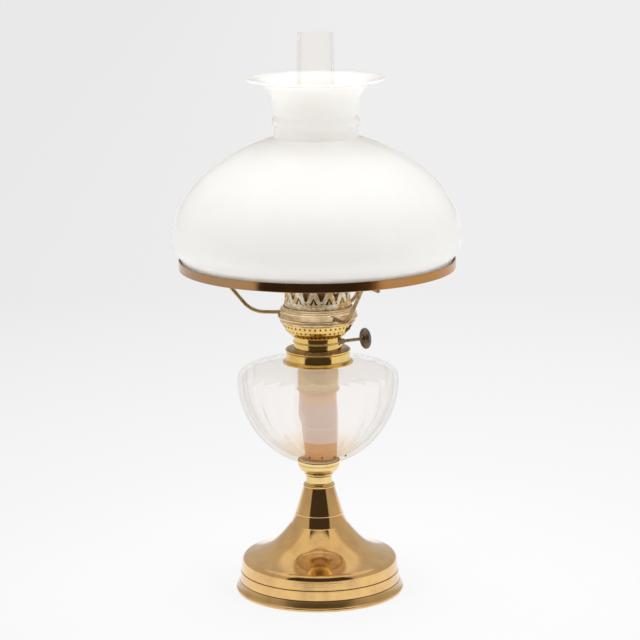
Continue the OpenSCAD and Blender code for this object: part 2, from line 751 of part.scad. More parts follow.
module spindle_bush() color(dark_brass) on_spindle()
    tube(bush_entry - bush_in, bush_exit + bush_out, bush_r, spindle_r + run_fit);

// Basket: a short spigot, then a flare that turns upright
basket_path = concat(
    [[body_r, body_top_z]],
    bezier([body_r, body_top_z + burner_wall], [body_r + basket_flare_out, body_top_z + basket_flare_up],
        [basket_r, basket_top_z - basket_upright], [basket_r, basket_top_z - burner_wall], 6),
    [[basket_r, basket_top_z]]);

module air_basket() color(brass) difference() {
    spun(basket_path, burner_wall);
    around(basket_holes) {
        for (row = [basket_row_low, basket_row_high])
            translate([body_r, 0, body_top_z + row]) rotate([0, 90, 0])
                cylinder(h = basket_r, r = basket_hole_r, $fn = 24);
        translate([0, 0, body_top_z + basket_row_points]) radial_cut(body_r - past, basket_r)
            polygon([[-basket_point_w / 2, -basket_point_h / 2], [basket_point_w / 2, -basket_point_h / 2],
                [0, basket_point_h / 2]]);
    }
}

module gallery_plate() color(worn_brass)
    tube(basket_top_z, plate_z, plate_r, plate_bore_r);

tongue_pitch = 2 * PI * gallery_r / tongues;
gap_top_w = tongue_pitch - tongue_tip_w;

// Gap between two tongues: a rounded end below, opening out towards the tips
module tongue_gap() {
    translate([0, gap_end_z]) circle(gap_end_r);
    polygon([[-gap_end_r, gap_end_z], [gap_end_r, gap_end_z],
        [gap_top_w / 2, crown_h + past], [-gap_top_w / 2, crown_h + past]]);
}

module chevron() polygon([
    [-chevron_w, chevron_z], [chevron_t - chevron_w, chevron_z],
    [0, chevron_z + chevron_h - chevron_point], [chevron_w - chevron_t, chevron_z],
    [chevron_w, chevron_z], [0, chevron_z + chevron_h]]);

module gallery() color(worn_brass) difference() {
    union() {
        tube(plate_z, crown_z + crown_h, gallery_r, gallery_r - burner_wall);
        tube(chimney_z - burner_wall, chimney_z, gallery_r - burner_wall / 2, seat_bore_r);
        for (z = [crown_z - gallery_bead_r - burner_wall, crown_z - 3 * gallery_bead_r - burner_wall])
            rotate_extrude() translate([gallery_r, z]) intersection() {
                circle(gallery_bead_r);
                translate([-burner_wall / 2, -gallery_bead_r]) square(gallery_bead_r * 2);
            }
    }
    translate([0, 0, crown_z]) around(tongues, crown_turn - 90 + 180 / tongues)
        radial_cut(gallery_r - 2 * burner_wall, 3 * burner_wall) {
            tongue_gap();
            translate([0, pierce_z]) circle(pierce_r, $fn = 24);
        }
    translate([0, 0, crown_z]) around(tongues, crown_turn - 90)
        radial_cut(gallery_r - 2 * burner_wall, 3 * burner_wall) chevron();
}

module wick_spindle() color(steel) on_spindle()
    translate([0, 0, post_far]) cylinder(h = spindle_len - post_far, r = spindle_r);

module toothed_wheel() linear_extrude(wheel_t, center = true) difference() {
    polygon([for (k = [0:2 * wheel_teeth - 1])
        let(a = 180 * k / wheel_teeth, r = k % 2 == 0 ? wheel_r : wheel_r - wheel_tooth)
            [r * cos(a), r * sin(a)]]);
    circle(spindle_r);
}

module wick_wheels() color(steel) on_spindle()
    for (side = [-1, 1]) translate([0, 0, side * (wheel_gap + wheel_t) / 2]) toothed_wheel();

knob_lip = knob_rim_t - knob_web_t;

module winder_knob() color(steel) on_spindle() translate([0, 0, spindle_len - knob_hub_h])
    difference() {
        rotate_extrude() polygon(concat(
            [[spindle_r, 0], [knob_hub_r, 0], [knob_hub_r, knob_hub_h - knob_rim_t]],
            bezier([knob_hub_r + knob_lip, knob_hub_h - knob_web_t - knob_lip / 2],
                [knob_r / 2, knob_hub_h - knob_web_t + knob_lip / 2],
                [knob_r - 2 * knob_lip, knob_hub_h - knob_web_t],
                [knob_r - knob_lip, knob_hub_h - knob_rim_t], 6),
            [[knob_r - knob_lip / 2, knob_hub_h - knob_rim_t], [knob_r, knob_hub_h - knob_rim_t + knob_lip / 2],
                [knob_r, knob_hub_h - knob_lip / 2], [knob_r - knob_lip / 2, knob_hub_h],
                [spindle_r, knob_hub_h]]));
        around(knob_notches) translate([knob_r + groove_r / 2, 0, -past])
            cylinder(h = knob_hub_h + 2 * past, r = groove_r, $fn = 16);
    }

wick_hang_inner_r = wick_hang_r - wick_t;
wick_end_z = font_inner[0].y + wick_end_gap;

module wick() color(cotton)
    rotate([0, 0, 90 + (360 - wick_arc) / 2]) rotate_extrude(angle = wick_arc) polygon([
        [wick_in_r, tube_top_z - tube_step], [wick_in_r, body_z - wick_straight_len],
        [wick_hang_inner_r, body_z - wick_straight_len - wick_open_len], [wick_hang_inner_r, wick_end_z],
        [wick_hang_r, wick_end_z], [wick_hang_r, body_z - wick_straight_len - wick_open_len],
        [wick_out_r, body_z - wick_straight_len], [wick_out_r, tube_top_z - tube_step]]);

chimney_shoulder_z = chimney_z + chimney_foot_h;
chimney_tube_z = chimney_shoulder_z + chimney_shoulder_h;
chimney_shoulder_mid = (chimney_shoulder_z + chimney_tube_z) / 2;
chimney_path = concat(
    [[chimney_foot_r, chimney_z]],
    bezier([chimney_foot_r, chimney_shoulder_z],
        [chimney_foot_r, chimney_shoulder_mid], [chimney_tube_r, chimney_shoulder_mid],
        [chimney_tube_r, chimney_tube_z], 10),
    [[chimney_top_r, chimney_z + chimney_h]]);

module chimney() color(clear_glass, 0.35) spun(chimney_path, chimney_wall);

// Collar of the carrier: foot on the plate, widest edge, cone and two steps in to the gallery
carrier_foot_r = carrier_bore_r + carrier_foot_w + carrier_wall;
carrier_lip_r = carrier_bore_r + carrier_wall;
carrier_top_z = plate_z + carrier_h;
carrier_step_z = carrier_top_z - carrier_top_h;
carrier_step_r = carrier_r - carrier_cone_w - carrier_step_w;
carrier_wide = plate_z + carrier_wide_z;
carrier_outline = [
    [carrier_foot_r, plate_z], [carrier_foot_r + carrier_wall, plate_z + carrier_wide_z / 2],
    [carrier_r, carrier_wide - carrier_wall / 2], [carrier_r, carrier_wide + carrier_wall / 2],
    [carrier_r - carrier_cone_w, carrier_step_z], [carrier_step_r, carrier_step_z + carrier_step_w / 2],
    [(carrier_step_r + carrier_lip_r) / 2, carrier_top_z - 2 * carrier_wall],
    [carrier_lip_r, carrier_top_z - carrier_wall], [carrier_lip_r, carrier_top_z]];

module carrier_collar() color(brass) difference() {
    rotate_extrude() polygon(concat(carrier_outline, [
        [carrier_bore_r, carrier_top_z], [carrier_bore_r, carrier_top_z - 2 * carrier_wall],
        [carrier_step_r - carrier_wall, carrier_step_z],
        [carrier_r - carrier_wall, carrier_wide],
        [carrier_foot_r - carrier_foot_w, plate_z]]));
    around(arms, 180 + carrier_turn) translate([0, 0, arm_low_z]) rotate([0, 90, 0])
        cylinder(h = arm_corner_r, r = wire_r);
    turned_line(carrier_step_r, carrier_step_z + carrier_step_w / 2);
}

// Arm: out of the collar, up along a slope and out again under the ring, with a bend at each corner
function bend_take(r) = r * tan(arm_slope / 2);
function arc(centre, r, from, to, n) =
    [for (i = [0:n]) let(a = from + (to - from) * i / n) centre + r * [cos(a), sin(a)]];
arm_low_z = plate_z + arm_z;
arm_high_z = ring_z - wire_r;
arm_low_end = arm_corner_r - bend_take(arm_low_bend);
arm_high_end = arm_corner_r + (arm_high_z - arm_low_z) / tan(arm_slope) + bend_take(arm_high_bend);
arm_path = concat(
    [[carrier_step_r - carrier_wall, arm_low_z]],
    arc([arm_low_end, arm_low_z + arm_low_bend], arm_low_bend, -90, arm_slope - 90, 7),
    arc([arm_high_end, arm_high_z - arm_high_bend], arm_high_bend, 90 + arm_slope, 90, 7),
    [[arm_end_r, arm_high_z]]);
wire_sides = 16;
function wire_ring(path, i) = let(u = inward(path, i)) [for (k = [0:wire_sides - 1])
    let(a = 360 * k / wire_sides, q = path[i] + wire_r * cos(a) * u) [q.x, -wire_r * sin(a), q.y]];

module carrier_arm(i) color(dark_brass)
    rotate([0, 0, 180 + carrier_turn + 360 * i / arms])
        lofted([for (i = [0:len(arm_path) - 1]) wire_ring(arm_path, i)]);

module shade_ring() color(dark_brass) {
    tube(ring_z, ring_z + ring_h, ring_r, ring_r - ring_t);
    tube(ring_z, shade_z, ring_r, ring_r - ring_ledge_w);
}

// Shade: rim in the ring, belly, dome, beaded neck and flared top
dome_z = shade_z + dome_h;
shade_top_z = shade_z + shade_h;
shade_wide = [shade_r, shade_z + shade_wide_z];
shade_belly_mid = shade_z + shade_wide_z / 2;
shade_belly = bezier([shade_rim_r, shade_z], [shade_rim_r, shade_belly_mid],
    [shade_r, shade_belly_mid], shade_wide, 9);
shade_dome = bezier(shade_wide, shade_wide + [0, dome_side],
    [shade_neck_r + dome_reach, dome_z - dome_fall], [shade_neck_r, dome_z], 16);
// The bead swells as one cosine wave between its two waists.
shade_neck = [for (a = [-180:30:180])
    [shade_neck_r - shade_waist + shade_bead_w * (1 + cos(a)) / 2, dome_z + shade_bead_z + shade_bead_h * a / 180]];
shade_flare_z = dome_z + shade_bead_z + shade_bead_h + shade_wall / 2;
shade_flare_end = [shade_top_r, shade_top_z - shade_lip_t];
flare_steps = 10;
shade_flare = bezier([shade_neck_r, shade_flare_z], [shade_neck_r, shade_flare_z + flare_straight],
    [shade_neck_r + flare_run, shade_flare_end.y - shade_lip_t], shade_flare_end, flare_steps);
shade_body = concat(shade_belly, tail(shade_dome), shade_neck);
// The glass thins towards the lip.
function flare_wall(i) = shade_wall + (shade_lip_t - shade_wall) * i / flare_steps;
shade_inner = concat(inset(shade_body, shade_wall),
    [for (i = [0:flare_steps]) shade_flare[i] + flare_wall(i) * inward(shade_flare, i)]);

module shade() color(opal_glass)
    rotate_extrude() polygon(concat(shade_body, shade_flare, reversed(shade_inner)));

foot_shell();
ballast_plate();
tie_rod();
tie_washer();
tie_nuts();
font_cup();
cup_plaster();
font_glass();
collar_plaster();
font_collar();
burner_flange();
wick_guard_tube();
burner_body();
wick_tube_outer();
wick_tube_inner();
air_duct();
spindle_post();
spindle_bush();
air_basket();
gallery_plate();
gallery();
wick_spindle();
wick_wheels();
winder_knob();
wick();
chimney();
carrier_collar();
carrier_arm(0);  // carrier_arm_left
carrier_arm(1);  // carrier_arm_front
carrier_arm(2);  // carrier_arm_rear
shade_ring();
shade();
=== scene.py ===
# %% [markdown]
# # Kerosene table lamp
# The lamp's working parts come from the CAD model, which stands in the scene as a fixed frame.
# This script dresses it: it sets up a small photo studio, mixes the brass, glass and cotton,
# and models the pieces whose curves have to be smoother than the CAD mesh.
# All lengths below are in millimetres, as on a drawing, and `MM` turns them to metres.

import json
import math

import bmesh
import bpy
from mathutils import Matrix, Vector


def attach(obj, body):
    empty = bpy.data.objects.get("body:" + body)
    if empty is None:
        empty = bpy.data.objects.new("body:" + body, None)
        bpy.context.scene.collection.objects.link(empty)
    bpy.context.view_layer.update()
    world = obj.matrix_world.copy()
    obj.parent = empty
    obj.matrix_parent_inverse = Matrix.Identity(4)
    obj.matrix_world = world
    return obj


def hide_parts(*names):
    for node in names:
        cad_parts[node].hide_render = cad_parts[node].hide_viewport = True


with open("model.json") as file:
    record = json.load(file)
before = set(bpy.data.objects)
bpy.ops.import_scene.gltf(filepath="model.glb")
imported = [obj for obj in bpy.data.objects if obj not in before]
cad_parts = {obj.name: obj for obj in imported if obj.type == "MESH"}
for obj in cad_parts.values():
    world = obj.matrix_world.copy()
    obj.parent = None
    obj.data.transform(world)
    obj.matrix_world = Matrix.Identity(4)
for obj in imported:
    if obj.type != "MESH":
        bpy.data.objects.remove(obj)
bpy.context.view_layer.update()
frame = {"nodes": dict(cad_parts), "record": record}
nodes = frame["nodes"]
MM = 0.001

# %% [markdown]
# ## Camera
# The viewpoint was worked out from the ellipses of the foot, the ring and the shade in the photograph:
# a long lens about two metres away, a little above the shade, looking slightly down.
# The picture leans by half a degree, so the camera is rolled by that much.

# %% Place the camera
CAMERA_DISTANCE = 2064
CAMERA_HEIGHT = 672
CAMERA_PITCH = math.radians(11.74)
CAMERA_ROLL = math.radians(-0.48)
LENS = 135.6
AXIS_SHIFT = 2.3 / 640

camera_data = bpy.data.cameras.new("camera")
camera_data.lens = LENS
camera_data.sensor_width = 36
camera_data.shift_x = AXIS_SHIFT
camera = bpy.data.objects.new("camera", camera_data)
camera.matrix_world = (
    Matrix.Translation((0, -CAMERA_DISTANCE * MM, CAMERA_HEIGHT * MM))
    @ Matrix.Rotation(math.pi / 2 - CAMERA_PITCH, 4, "X")
    @ Matrix.Rotation(CAMERA_ROLL, 4, "Z")
)
bpy.context.scene.collection.objects.link(camera)
bpy.context.scene.camera = camera
bpy.context.scene.view_settings.view_transform = "Standard"
print("camera at", tuple(round(v, 3) for v in camera.matrix_world.translation))

# %% [markdown]
# ## Helpers for node trees
# Colours are picked from the photograph as sRGB hex values, while shaders want linear light.
# Every node in this file, in a shader or in Geometry Nodes, is added by one function. It takes the
# node's settings as keywords, and its inputs as a dictionary of numbers or of sockets to link.

# %% Node helpers
def linear(code):
    """sRGB hex such as c89a4c as a linear RGBA colour."""
    parts = [int(code[i:i + 2], 16) / 255 for i in (0, 2, 4)]
    return [p / 12.92 if p <= 0.04045 else ((p + 0.055) / 1.055) ** 2.4 for p in parts] + [1.0]


def add(tree, kind, inputs=None, **settings):
    """A new node with its settings, and with its inputs set or linked."""
    node = tree.nodes.new(kind)
    for name, value in settings.items():
        setattr(node, name, value)
    for key, value in (inputs or {}).items():
        socket = node.inputs[key]
        if isinstance(value, bpy.types.NodeSocket):
            tree.links.new(value, socket)
        else:
            socket.default_value = value
    return node


def new_material(name):
    material = bpy.data.materials.new(name)
    material.use_nodes = True
    material.node_tree.nodes.clear()
    return material, material.node_tree


def finish_material(tree, shader):
    tree.links.new(shader.outputs[0], add(tree, "ShaderNodeOutputMaterial").inputs["Surface"])


print("brass hex c89a4c is linear", [round(c, 3) for c in linear("c89a4c")])

# %% [markdown]
# ## Studio
# Polished brass shows whatever stands around it, so the room matters as much as the metal.
# The photograph looks as if it was taken in a white tent that is open towards the camera: on every upright
# brass wall a dark upright bar shows in the middle, with bright gold on both sides.
# The world is therefore white to the eye. Reflections in metal see the tent's cloth, dimmer than the table
# below, a bright panel overhead, which draws an arch on the foot's sloping top, and a dark window in front.
# Less light comes in through the window too, which models the front of the shade a little.
# A Light Path node tells these rays apart. Other materials ask the same things, so each is a function.

# %% Questions about a ray
WINDOW_HALF_ANGLE = math.radians(49)
WINDOW_BLUR = 0.03


def seen_ray(tree, ray):
    """1 for a ray that shows its surroundings: from the camera, off something shiny or through glass."""
    shown = add(tree, "ShaderNodeMath", {
        0: ray.outputs["Is Camera Ray"], 1: ray.outputs["Is Glossy Ray"]}, operation="MAXIMUM")
    return add(tree, "ShaderNodeMath", {
        0: shown.outputs[0], 1: ray.outputs["Is Transmission Ray"]}, operation="MAXIMUM").outputs[0]


def mirrored_ray(tree, ray):
    """1 for a ray that was mirrored in the open air. Rays bent by clear glass count as glossy too."""
    in_air = add(tree, "ShaderNodeMath", {
        0: ray.outputs["Transmission Depth"], 1: 0.5}, operation="LESS_THAN")
    return add(tree, "ShaderNodeMath", {
        0: in_air.outputs[0], 1: ray.outputs["Is Glossy Ray"]}, operation="MULTIPLY").outputs[0]


def through_window(tree, way):
    """1 where a way from the lamp leads out of the tent's opening, seen from above."""
    level = add(tree, "ShaderNodeVectorMath", {0: way, 1: (1, 1, 0)}, operation="MULTIPLY")
    heading = add(tree, "ShaderNodeVectorMath", {0: level.outputs[0]}, operation="NORMALIZE")
    front = add(tree, "ShaderNodeVectorMath", {0: heading.outputs[0], 1: (0, -1, 0)}, operation="DOT_PRODUCT")
    return add(tree, "ShaderNodeMapRange", {
        "Value": front.outputs["Value"],
        "From Min": math.cos(WINDOW_HALF_ANGLE + WINDOW_BLUR),
        "From Max": math.cos(WINDOW_HALF_ANGLE - WINDOW_BLUR)}).outputs[0]


print("the tent's window is", round(math.degrees(2 * WINDOW_HALF_ANGLE)), "degrees wide")

# %% World
TENT_WHITE = "ebebec"
TENT_SIDES = "c6c0b9"
TENT_ROOF = "ebe6dd"
ROOM_DARK = "453d3a"
WINDOW_TOP, TOP_BLUR = math.radians(57), 0.06
ROOF_EDGE, ROOF_FULL = math.radians(44), math.radians(49)
LIGHT_FROM_TENT = 0.64
LIGHT_FROM_WINDOW = 0.08

world = bpy.data.worlds.new("light_tent")
bpy.context.scene.world = world
world.use_nodes = True
sky = world.node_tree
sky.nodes.clear()
direction = add(sky, "ShaderNodeTexCoord").outputs["Generated"]
height = add(sky, "ShaderNodeSeparateXYZ", {0: direction}).outputs["Z"]
below_top = add(sky, "ShaderNodeMapRange", {
    "Value": height, "From Min": math.sin(WINDOW_TOP + TOP_BLUR), "From Max": math.sin(WINDOW_TOP)})
window = add(sky, "ShaderNodeMath", {
    0: through_window(sky, direction), 1: below_top.outputs[0]}, operation="MULTIPLY")
roof = add(sky, "ShaderNodeMapRange", {
    "Value": height, "From Min": math.sin(ROOF_EDGE), "From Max": math.sin(ROOF_FULL)})
tent_colour = add(sky, "ShaderNodeMix", {
    "Factor": roof.outputs[0], 6: linear(TENT_SIDES), 7: linear(TENT_ROOF)}, data_type="RGBA")
room_colour = add(sky, "ShaderNodeMix", {
    "Factor": window.outputs[0], 6: tent_colour.outputs[2], 7: linear(ROOM_DARK)}, data_type="RGBA")
ray = add(sky, "ShaderNodeLightPath")
seen_colour = add(sky, "ShaderNodeMix", {
    "Factor": mirrored_ray(sky, ray), 6: linear(TENT_WHITE), 7: room_colour.outputs[2]}, data_type="RGBA")
strength = add(sky, "ShaderNodeMapRange", {
    "Value": window.outputs[0], "To Min": LIGHT_FROM_TENT, "To Max": LIGHT_FROM_WINDOW})
tent_light = add(sky, "ShaderNodeBackground", {"Color": (1, 1, 1, 1), "Strength": strength.outputs[0]})
tent_seen = add(sky, "ShaderNodeBackground", {"Color": seen_colour.outputs[2], "Strength": 1})
tent = add(sky, "ShaderNodeMixShader", {
    0: seen_ray(sky, ray), 1: tent_light.outputs[0], 2: tent_seen.outputs[0]})
sky.links.new(tent.outputs[0], add(sky, "ShaderNodeOutputWorld").inputs["Surface"])
print("world nodes:", len(sky.nodes))

# %% [markdown]
# The table is a pale sheet that runs back without a horizon. Close to the lamp it is lit, so that
# it takes the lamp's soft shadow. Further away it turns to the plain white of the backdrop, which
# gets a little greyer with distance. Past its front edge, in the tent's opening, reflections turn dark.

# %% Table
FLOOR_HALF = 12.0
TABLE_NEAR, TABLE_FAR = "fdfdfe", "eeeeee"
GREY_FROM, GREY_TO = 0.05, 1.4                    # metres from the lamp between which the sheet turns grey
LEFT_DIM, LEFT_FROM, LEFT_TO = 0.955, -0.6, 0.1   # the sheet is a little dimmer on the left
SHADOW_NEAR, SHADOW_FAR, SHADOW_SHARE = 0.10, 0.45, 0.15
TABLE_FRONT, FRONT_BLUR = 0.68, 0.05

floor_mesh = bpy.data.meshes.new("table_top")
corners = [(x * FLOOR_HALF, y * FLOOR_HALF, 0) for x, y in ((-1, -1), (1, -1), (1, 1), (-1, 1))]
floor_mesh.from_pydata(corners, [], [(0, 1, 2, 3)])
table_top = bpy.data.objects.new("table_top", floor_mesh)
bpy.context.scene.collection.objects.link(table_top)

# Paper is matt: it has no gloss and only takes shadows.
white_sheet, tree = new_material("white_paper_sheet")
place = add(tree, "ShaderNodeTexCoord").outputs["Object"]
across = add(tree, "ShaderNodeSeparateXYZ", {0: place})
ray = add(tree, "ShaderNodeLightPath")
far = add(tree, "ShaderNodeVectorMath", {0: place}, operation="LENGTH").outputs["Value"]
plain = add(tree, "ShaderNodeMapRange", {
    "Value": far, "From Min": SHADOW_NEAR, "From Max": SHADOW_FAR,
    "To Min": 1 - SHADOW_SHARE}, interpolation_type="SMOOTHSTEP")
share = add(tree, "ShaderNodeMath", {0: plain.outputs[0], 1: seen_ray(tree, ray)}, operation="MULTIPLY")
past_front = add(tree, "ShaderNodeMapRange", {
    "Value": across.outputs["Y"], "From Min": -TABLE_FRONT, "From Max": -TABLE_FRONT - FRONT_BLUR})
outside = add(tree, "ShaderNodeMath", {
    0: past_front.outputs[0], 1: through_window(tree, place)}, operation="MULTIPLY")
dark = add(tree, "ShaderNodeMath", {0: outside.outputs[0], 1: mirrored_ray(tree, ray)}, operation="MULTIPLY")
backdrop = add(tree, "ShaderNodeMapRange", {"Value": far, "From Min": GREY_FROM, "From Max": GREY_TO})
sheet_colour = add(tree, "ShaderNodeMix", {
    "Factor": backdrop.outputs[0], 6: linear(TABLE_NEAR), 7: linear(TABLE_FAR)}, data_type="RGBA")
left = add(tree, "ShaderNodeMapRange", {
    "Value": across.outputs["X"], "From Min": LEFT_FROM, "From Max": LEFT_TO, "To Min": LEFT_DIM})
evened = add(tree, "ShaderNodeVectorMath", {
    0: sheet_colour.outputs[2], 3: left.outputs[0]}, operation="SCALE")
seen_colour = add(tree, "ShaderNodeMix", {
    "Factor": dark.outputs[0], 6: evened.outputs[0], 7: linear(ROOM_DARK)}, data_type="RGBA")
lit = add(tree, "ShaderNodeBsdfDiffuse", {"Color": linear(TABLE_NEAR)})
plain_white = add(tree, "ShaderNodeEmission", {"Color": seen_colour.outputs[2], "Strength": 1.0})
finish_material(tree, add(tree, "ShaderNodeMixShader", {
    0: share.outputs[0], 1: lit.outputs[0], 2: plain_white.outputs[0]}))
floor_mesh.materials.append(white_sheet)
print("table from", corners[0][:2], "to", corners[2][:2])

# %% [markdown]
# Two large soft boxes stand left and right of the camera, one hangs overhead, and a weaker one above the
# camera lights the front of the shade. The brass is lit by what it mirrors, and the tent gives it that,
# so the boxes themselves are kept out of reflections.

# %% Lamps
BURNER_PLACE, SHADE_PLACE = (0, 0, 0.25), (0, 0, 0.4)


def softbox(name, place, size, power, target=BURNER_PLACE):
    """A soft box at a place in metres that points at the lamp."""
    light = bpy.data.lights.new(name, "AREA")
    light.shape = "RECTANGLE"
    light.size, light.size_y = size
    light.energy = power
    lamp = bpy.data.objects.new(name, light)
    lamp.location = place
    lamp.rotation_mode = "QUATERNION"
    lamp.rotation_quaternion = (Vector(target) - Vector(place)).to_track_quat("-Z", "Y")
    lamp.visible_glossy = False
    bpy.context.scene.collection.objects.link(lamp)
    print(name, "power", power)


softbox("softbox_left", place=(-1.5, -1.1, 1.35), size=(0.9, 1.1), power=11.5)
softbox("softbox_right", place=(1.5, -1.1, 1.35), size=(0.9, 1.1), power=12.5)
softbox("softbox_top", place=(0, 0.3, 2.2), size=(1.4, 1.4), power=18)
softbox("softbox_front", place=(0, -1.5, 2.2), size=(1.2, 0.8), power=5, target=SHADE_PLACE)

# %% [markdown]
# ## Brass
# The metal parts are yellow brass, spun or turned on a lathe and then polished. Brass that has been handled
# for years isn't one colour: a thin brown tarnish lies in clouds, grime stays in every groove, and
# the lathe's fine rings break the reflections up a little. The pattern for the rings only reads the
# distance from the axis and the height, so that they run round the piece, as on the lathe.

# %% Brass
RING_MARK = 0.9      # spacing of the lathe's rings in mm, drawn coarser than real so that they show
SPOT = 1.6           # size of a spot in mm
SPOT_FROM, SPOT_FULL, SPOT_SHARE = 0.66, 0.76, 0.5
GRIME = "3a2614"     # what gathers in grooves
GRIME_ROUGHNESS = 1.2
COAT_ROUGHNESS = 0.12


def brass(name, colour, tarnish, roughness, dullness, clouds=(0.42, 0.72), cloud_size=16.0,
          marks=0.02, metal=1.0, coat=0.0, drift=0.0):
    """Polished brass of one colour with clouds of tarnish, lathe rings and grime in its grooves.

    Dullness is the roughness that tarnish adds, and drift is how much the tarnish gains per metre
    to the right.
    """
    material, tree = new_material(name)
    place = add(tree, "ShaderNodeTexCoord").outputs["Object"]
    cloud = add(tree, "ShaderNodeTexNoise", {"Vector": place, "Scale": 1 / (cloud_size * MM), "Detail": 4.0})
    part = add(tree, "ShaderNodeSeparateXYZ", {0: place})
    drifted = add(tree, "ShaderNodeMath", {
        0: part.outputs[0], 1: drift, 2: cloud.outputs[0]}, operation="MULTIPLY_ADD")
    dull = add(tree, "ShaderNodeMapRange", {
        "Value": drifted.outputs[0], "From Min": clouds[0], "From Max": clouds[1]})
    spot = add(tree, "ShaderNodeTexNoise", {"Vector": place, "Scale": 1 / (SPOT * MM), "Detail": 2.0})
    spots = add(tree, "ShaderNodeMapRange", {
        "Value": spot.outputs[0], "From Min": SPOT_FROM, "From Max": SPOT_FULL, "To Max": SPOT_SHARE})
    flat = add(tree, "ShaderNodeCombineXYZ", {0: part.outputs[0], 1: part.outputs[1]})
    radius = add(tree, "ShaderNodeVectorMath", {0: flat.outputs[0]}, operation="LENGTH")
    rings_at = add(tree, "ShaderNodeCombineXYZ", {0: radius.outputs["Value"], 2: part.outputs[2]})
    rings = add(tree, "ShaderNodeTexNoise", {
        "Vector": rings_at.outputs[0], "Scale": 1 / (RING_MARK * MM), "Detail": 2.0})
    grime = add(tree, "ShaderNodeAttribute", attribute_name="dirt")
    tone = add(tree, "ShaderNodeMix", {
        "Factor": dull.outputs[0], 6: linear(colour), 7: linear(tarnish)}, data_type="RGBA")
    spotted = add(tree, "ShaderNodeMix", {
        "Factor": spots.outputs[0], 6: tone.outputs[2], 7: linear(tarnish)}, data_type="RGBA")
    grimy = add(tree, "ShaderNodeMix", {
        "Factor": grime.outputs["Fac"], 6: spotted.outputs[2], 7: linear(GRIME)}, data_type="RGBA")
    rough = add(tree, "ShaderNodeMapRange", {
        "Value": dull.outputs[0], "To Min": roughness, "To Max": roughness + dullness})
    rougher = add(tree, "ShaderNodeMath", {
        0: grime.outputs["Fac"], 1: GRIME_ROUGHNESS, 2: rough.outputs[0]}, operation="MULTIPLY_ADD")
    bump = add(tree, "ShaderNodeBump", {
        "Height": rings.outputs[0], "Strength": marks, "Distance": RING_MARK * MM})
    finish_material(tree, add(tree, "ShaderNodeBsdfPrincipled", {
        "Base Color": grimy.outputs[2], "Metallic": metal, "Roughness": rougher.outputs[0],
        "Normal": bump.outputs[0], "Coat Weight": coat, "Coat Roughness": COAT_ROUGHNESS}))
    print(name, "nodes:", len(tree.nodes))
    return material


# Spun brass under lacquer is an even gold mirror, and the lacquer adds a faint second gloss.
spun_brass = brass("spun_lacquered_brass", "ecc076", "daac70", 0.075, 0.05, coat=1.0)
# Turned brass shows crisp bright bars, yellow on collar and burner, paler on the cup.
turned_brass = brass("turned_polished_brass", "f2cf80", "e0b566", 0.05, 0.06)
pale_brass = brass("turned_pale_brass", "f6da9a", "e8c888", 0.05, 0.06)
# Rubbed brass blurs what it mirrors: brown on the flange, pale on the belt. Basket and gallery have worn
# to a silvery grey with golden patches.
flange_brass = brass("rubbed_flange_brass", "b9a079", "8f7752", 0.22, 0.10, cloud_size=8.0)
worn_brass = brass("worn_silvery_brass", "ece3d0", "d4ac60", 0.34, 0.10, (0.40, 0.58), cloud_size=6.0,
                   marks=0.06, metal=0.6)
belt_brass = brass("rubbed_belt_brass", "f8e2bd", "e2c595", 0.14, 0.10, (0.40, 0.66), cloud_size=9.0)
# Aged brass is brown. The ring is still a mirror and turns orange to the right, the wires are satin.
ring_brass = brass("aged_ring_brass", "ae8860", "c18746", 0.09, 0.12, (0.36, 0.66), cloud_size=22.0,
                   coat=0.3, drift=2.0)
aged_brass = brass("aged_brown_brass", "b89c6e", "94764a", 0.28, 0.10, (0.36, 0.66), cloud_size=5.0)

# %% [markdown]
# Iron, steel and plaster are mostly hidden. The knob is the exception: its steel is grey-brown
# from fingers, and rougher than the brass. One function blends two tones in blotches over a fine grit.

# %% Steel, iron, plaster
BLOTCH, PLASTER_STAIN = 4, 5     # sizes in mm


def dull_metal(name, colour, stain, roughness, grain, metal=1.0):
    """Metal without polish. Grain is the size of its grit in mm."""
    material, tree = new_material(name)
    place = add(tree, "ShaderNodeTexCoord").outputs["Object"]
    blotch = add(tree, "ShaderNodeTexNoise", {"Vector": place, "Scale": 1 / (BLOTCH * MM), "Detail": 5.0})
    tone = add(tree, "ShaderNodeMix", {
        "Factor": blotch.outputs[0], 6: linear(colour), 7: linear(stain)}, data_type="RGBA")
    grit = add(tree, "ShaderNodeTexNoise", {"Vector": place, "Scale": 1 / (grain * MM), "Detail": 3.0})
    bump = add(tree, "ShaderNodeBump", {"Height": grit.outputs[0], "Strength": 0.2, "Distance": grain * MM})
    finish_material(tree, add(tree, "ShaderNodeBsdfPrincipled", {
        "Base Color": tone.outputs[2], "Metallic": metal, "Roughness": roughness,
        "Normal": bump.outputs[0]}))
    return material


# Cast iron is rough and nearly black, while handled steel keeps a soft grey gloss.
cast_iron = dull_metal("cast_iron", "4a4744", "2e2a27", 0.6, 0.8)
handled_steel = dull_metal("handled_steel", "a39a93", "786c63", 0.40, 0.5)

# Plaster is matt and cream, stained a little darker in places.
plaster, tree = new_material("cream_plaster")
place = add(tree, "ShaderNodeTexCoord").outputs["Object"]
stain = add(tree, "ShaderNodeTexNoise", {"Vector": place, "Scale": 1 / (PLASTER_STAIN * MM), "Detail": 4.0})
tone = add(tree, "ShaderNodeMix", {
    "Factor": stain.outputs[0], 6: linear("fef4e2"), 7: linear("f5e2c0")}, data_type="RGBA")
finish_material(tree, add(tree, "ShaderNodeBsdfPrincipled", {
    "Base Color": tone.outputs[2], "Roughness": 0.8}))
print("dull metals and plaster ready")

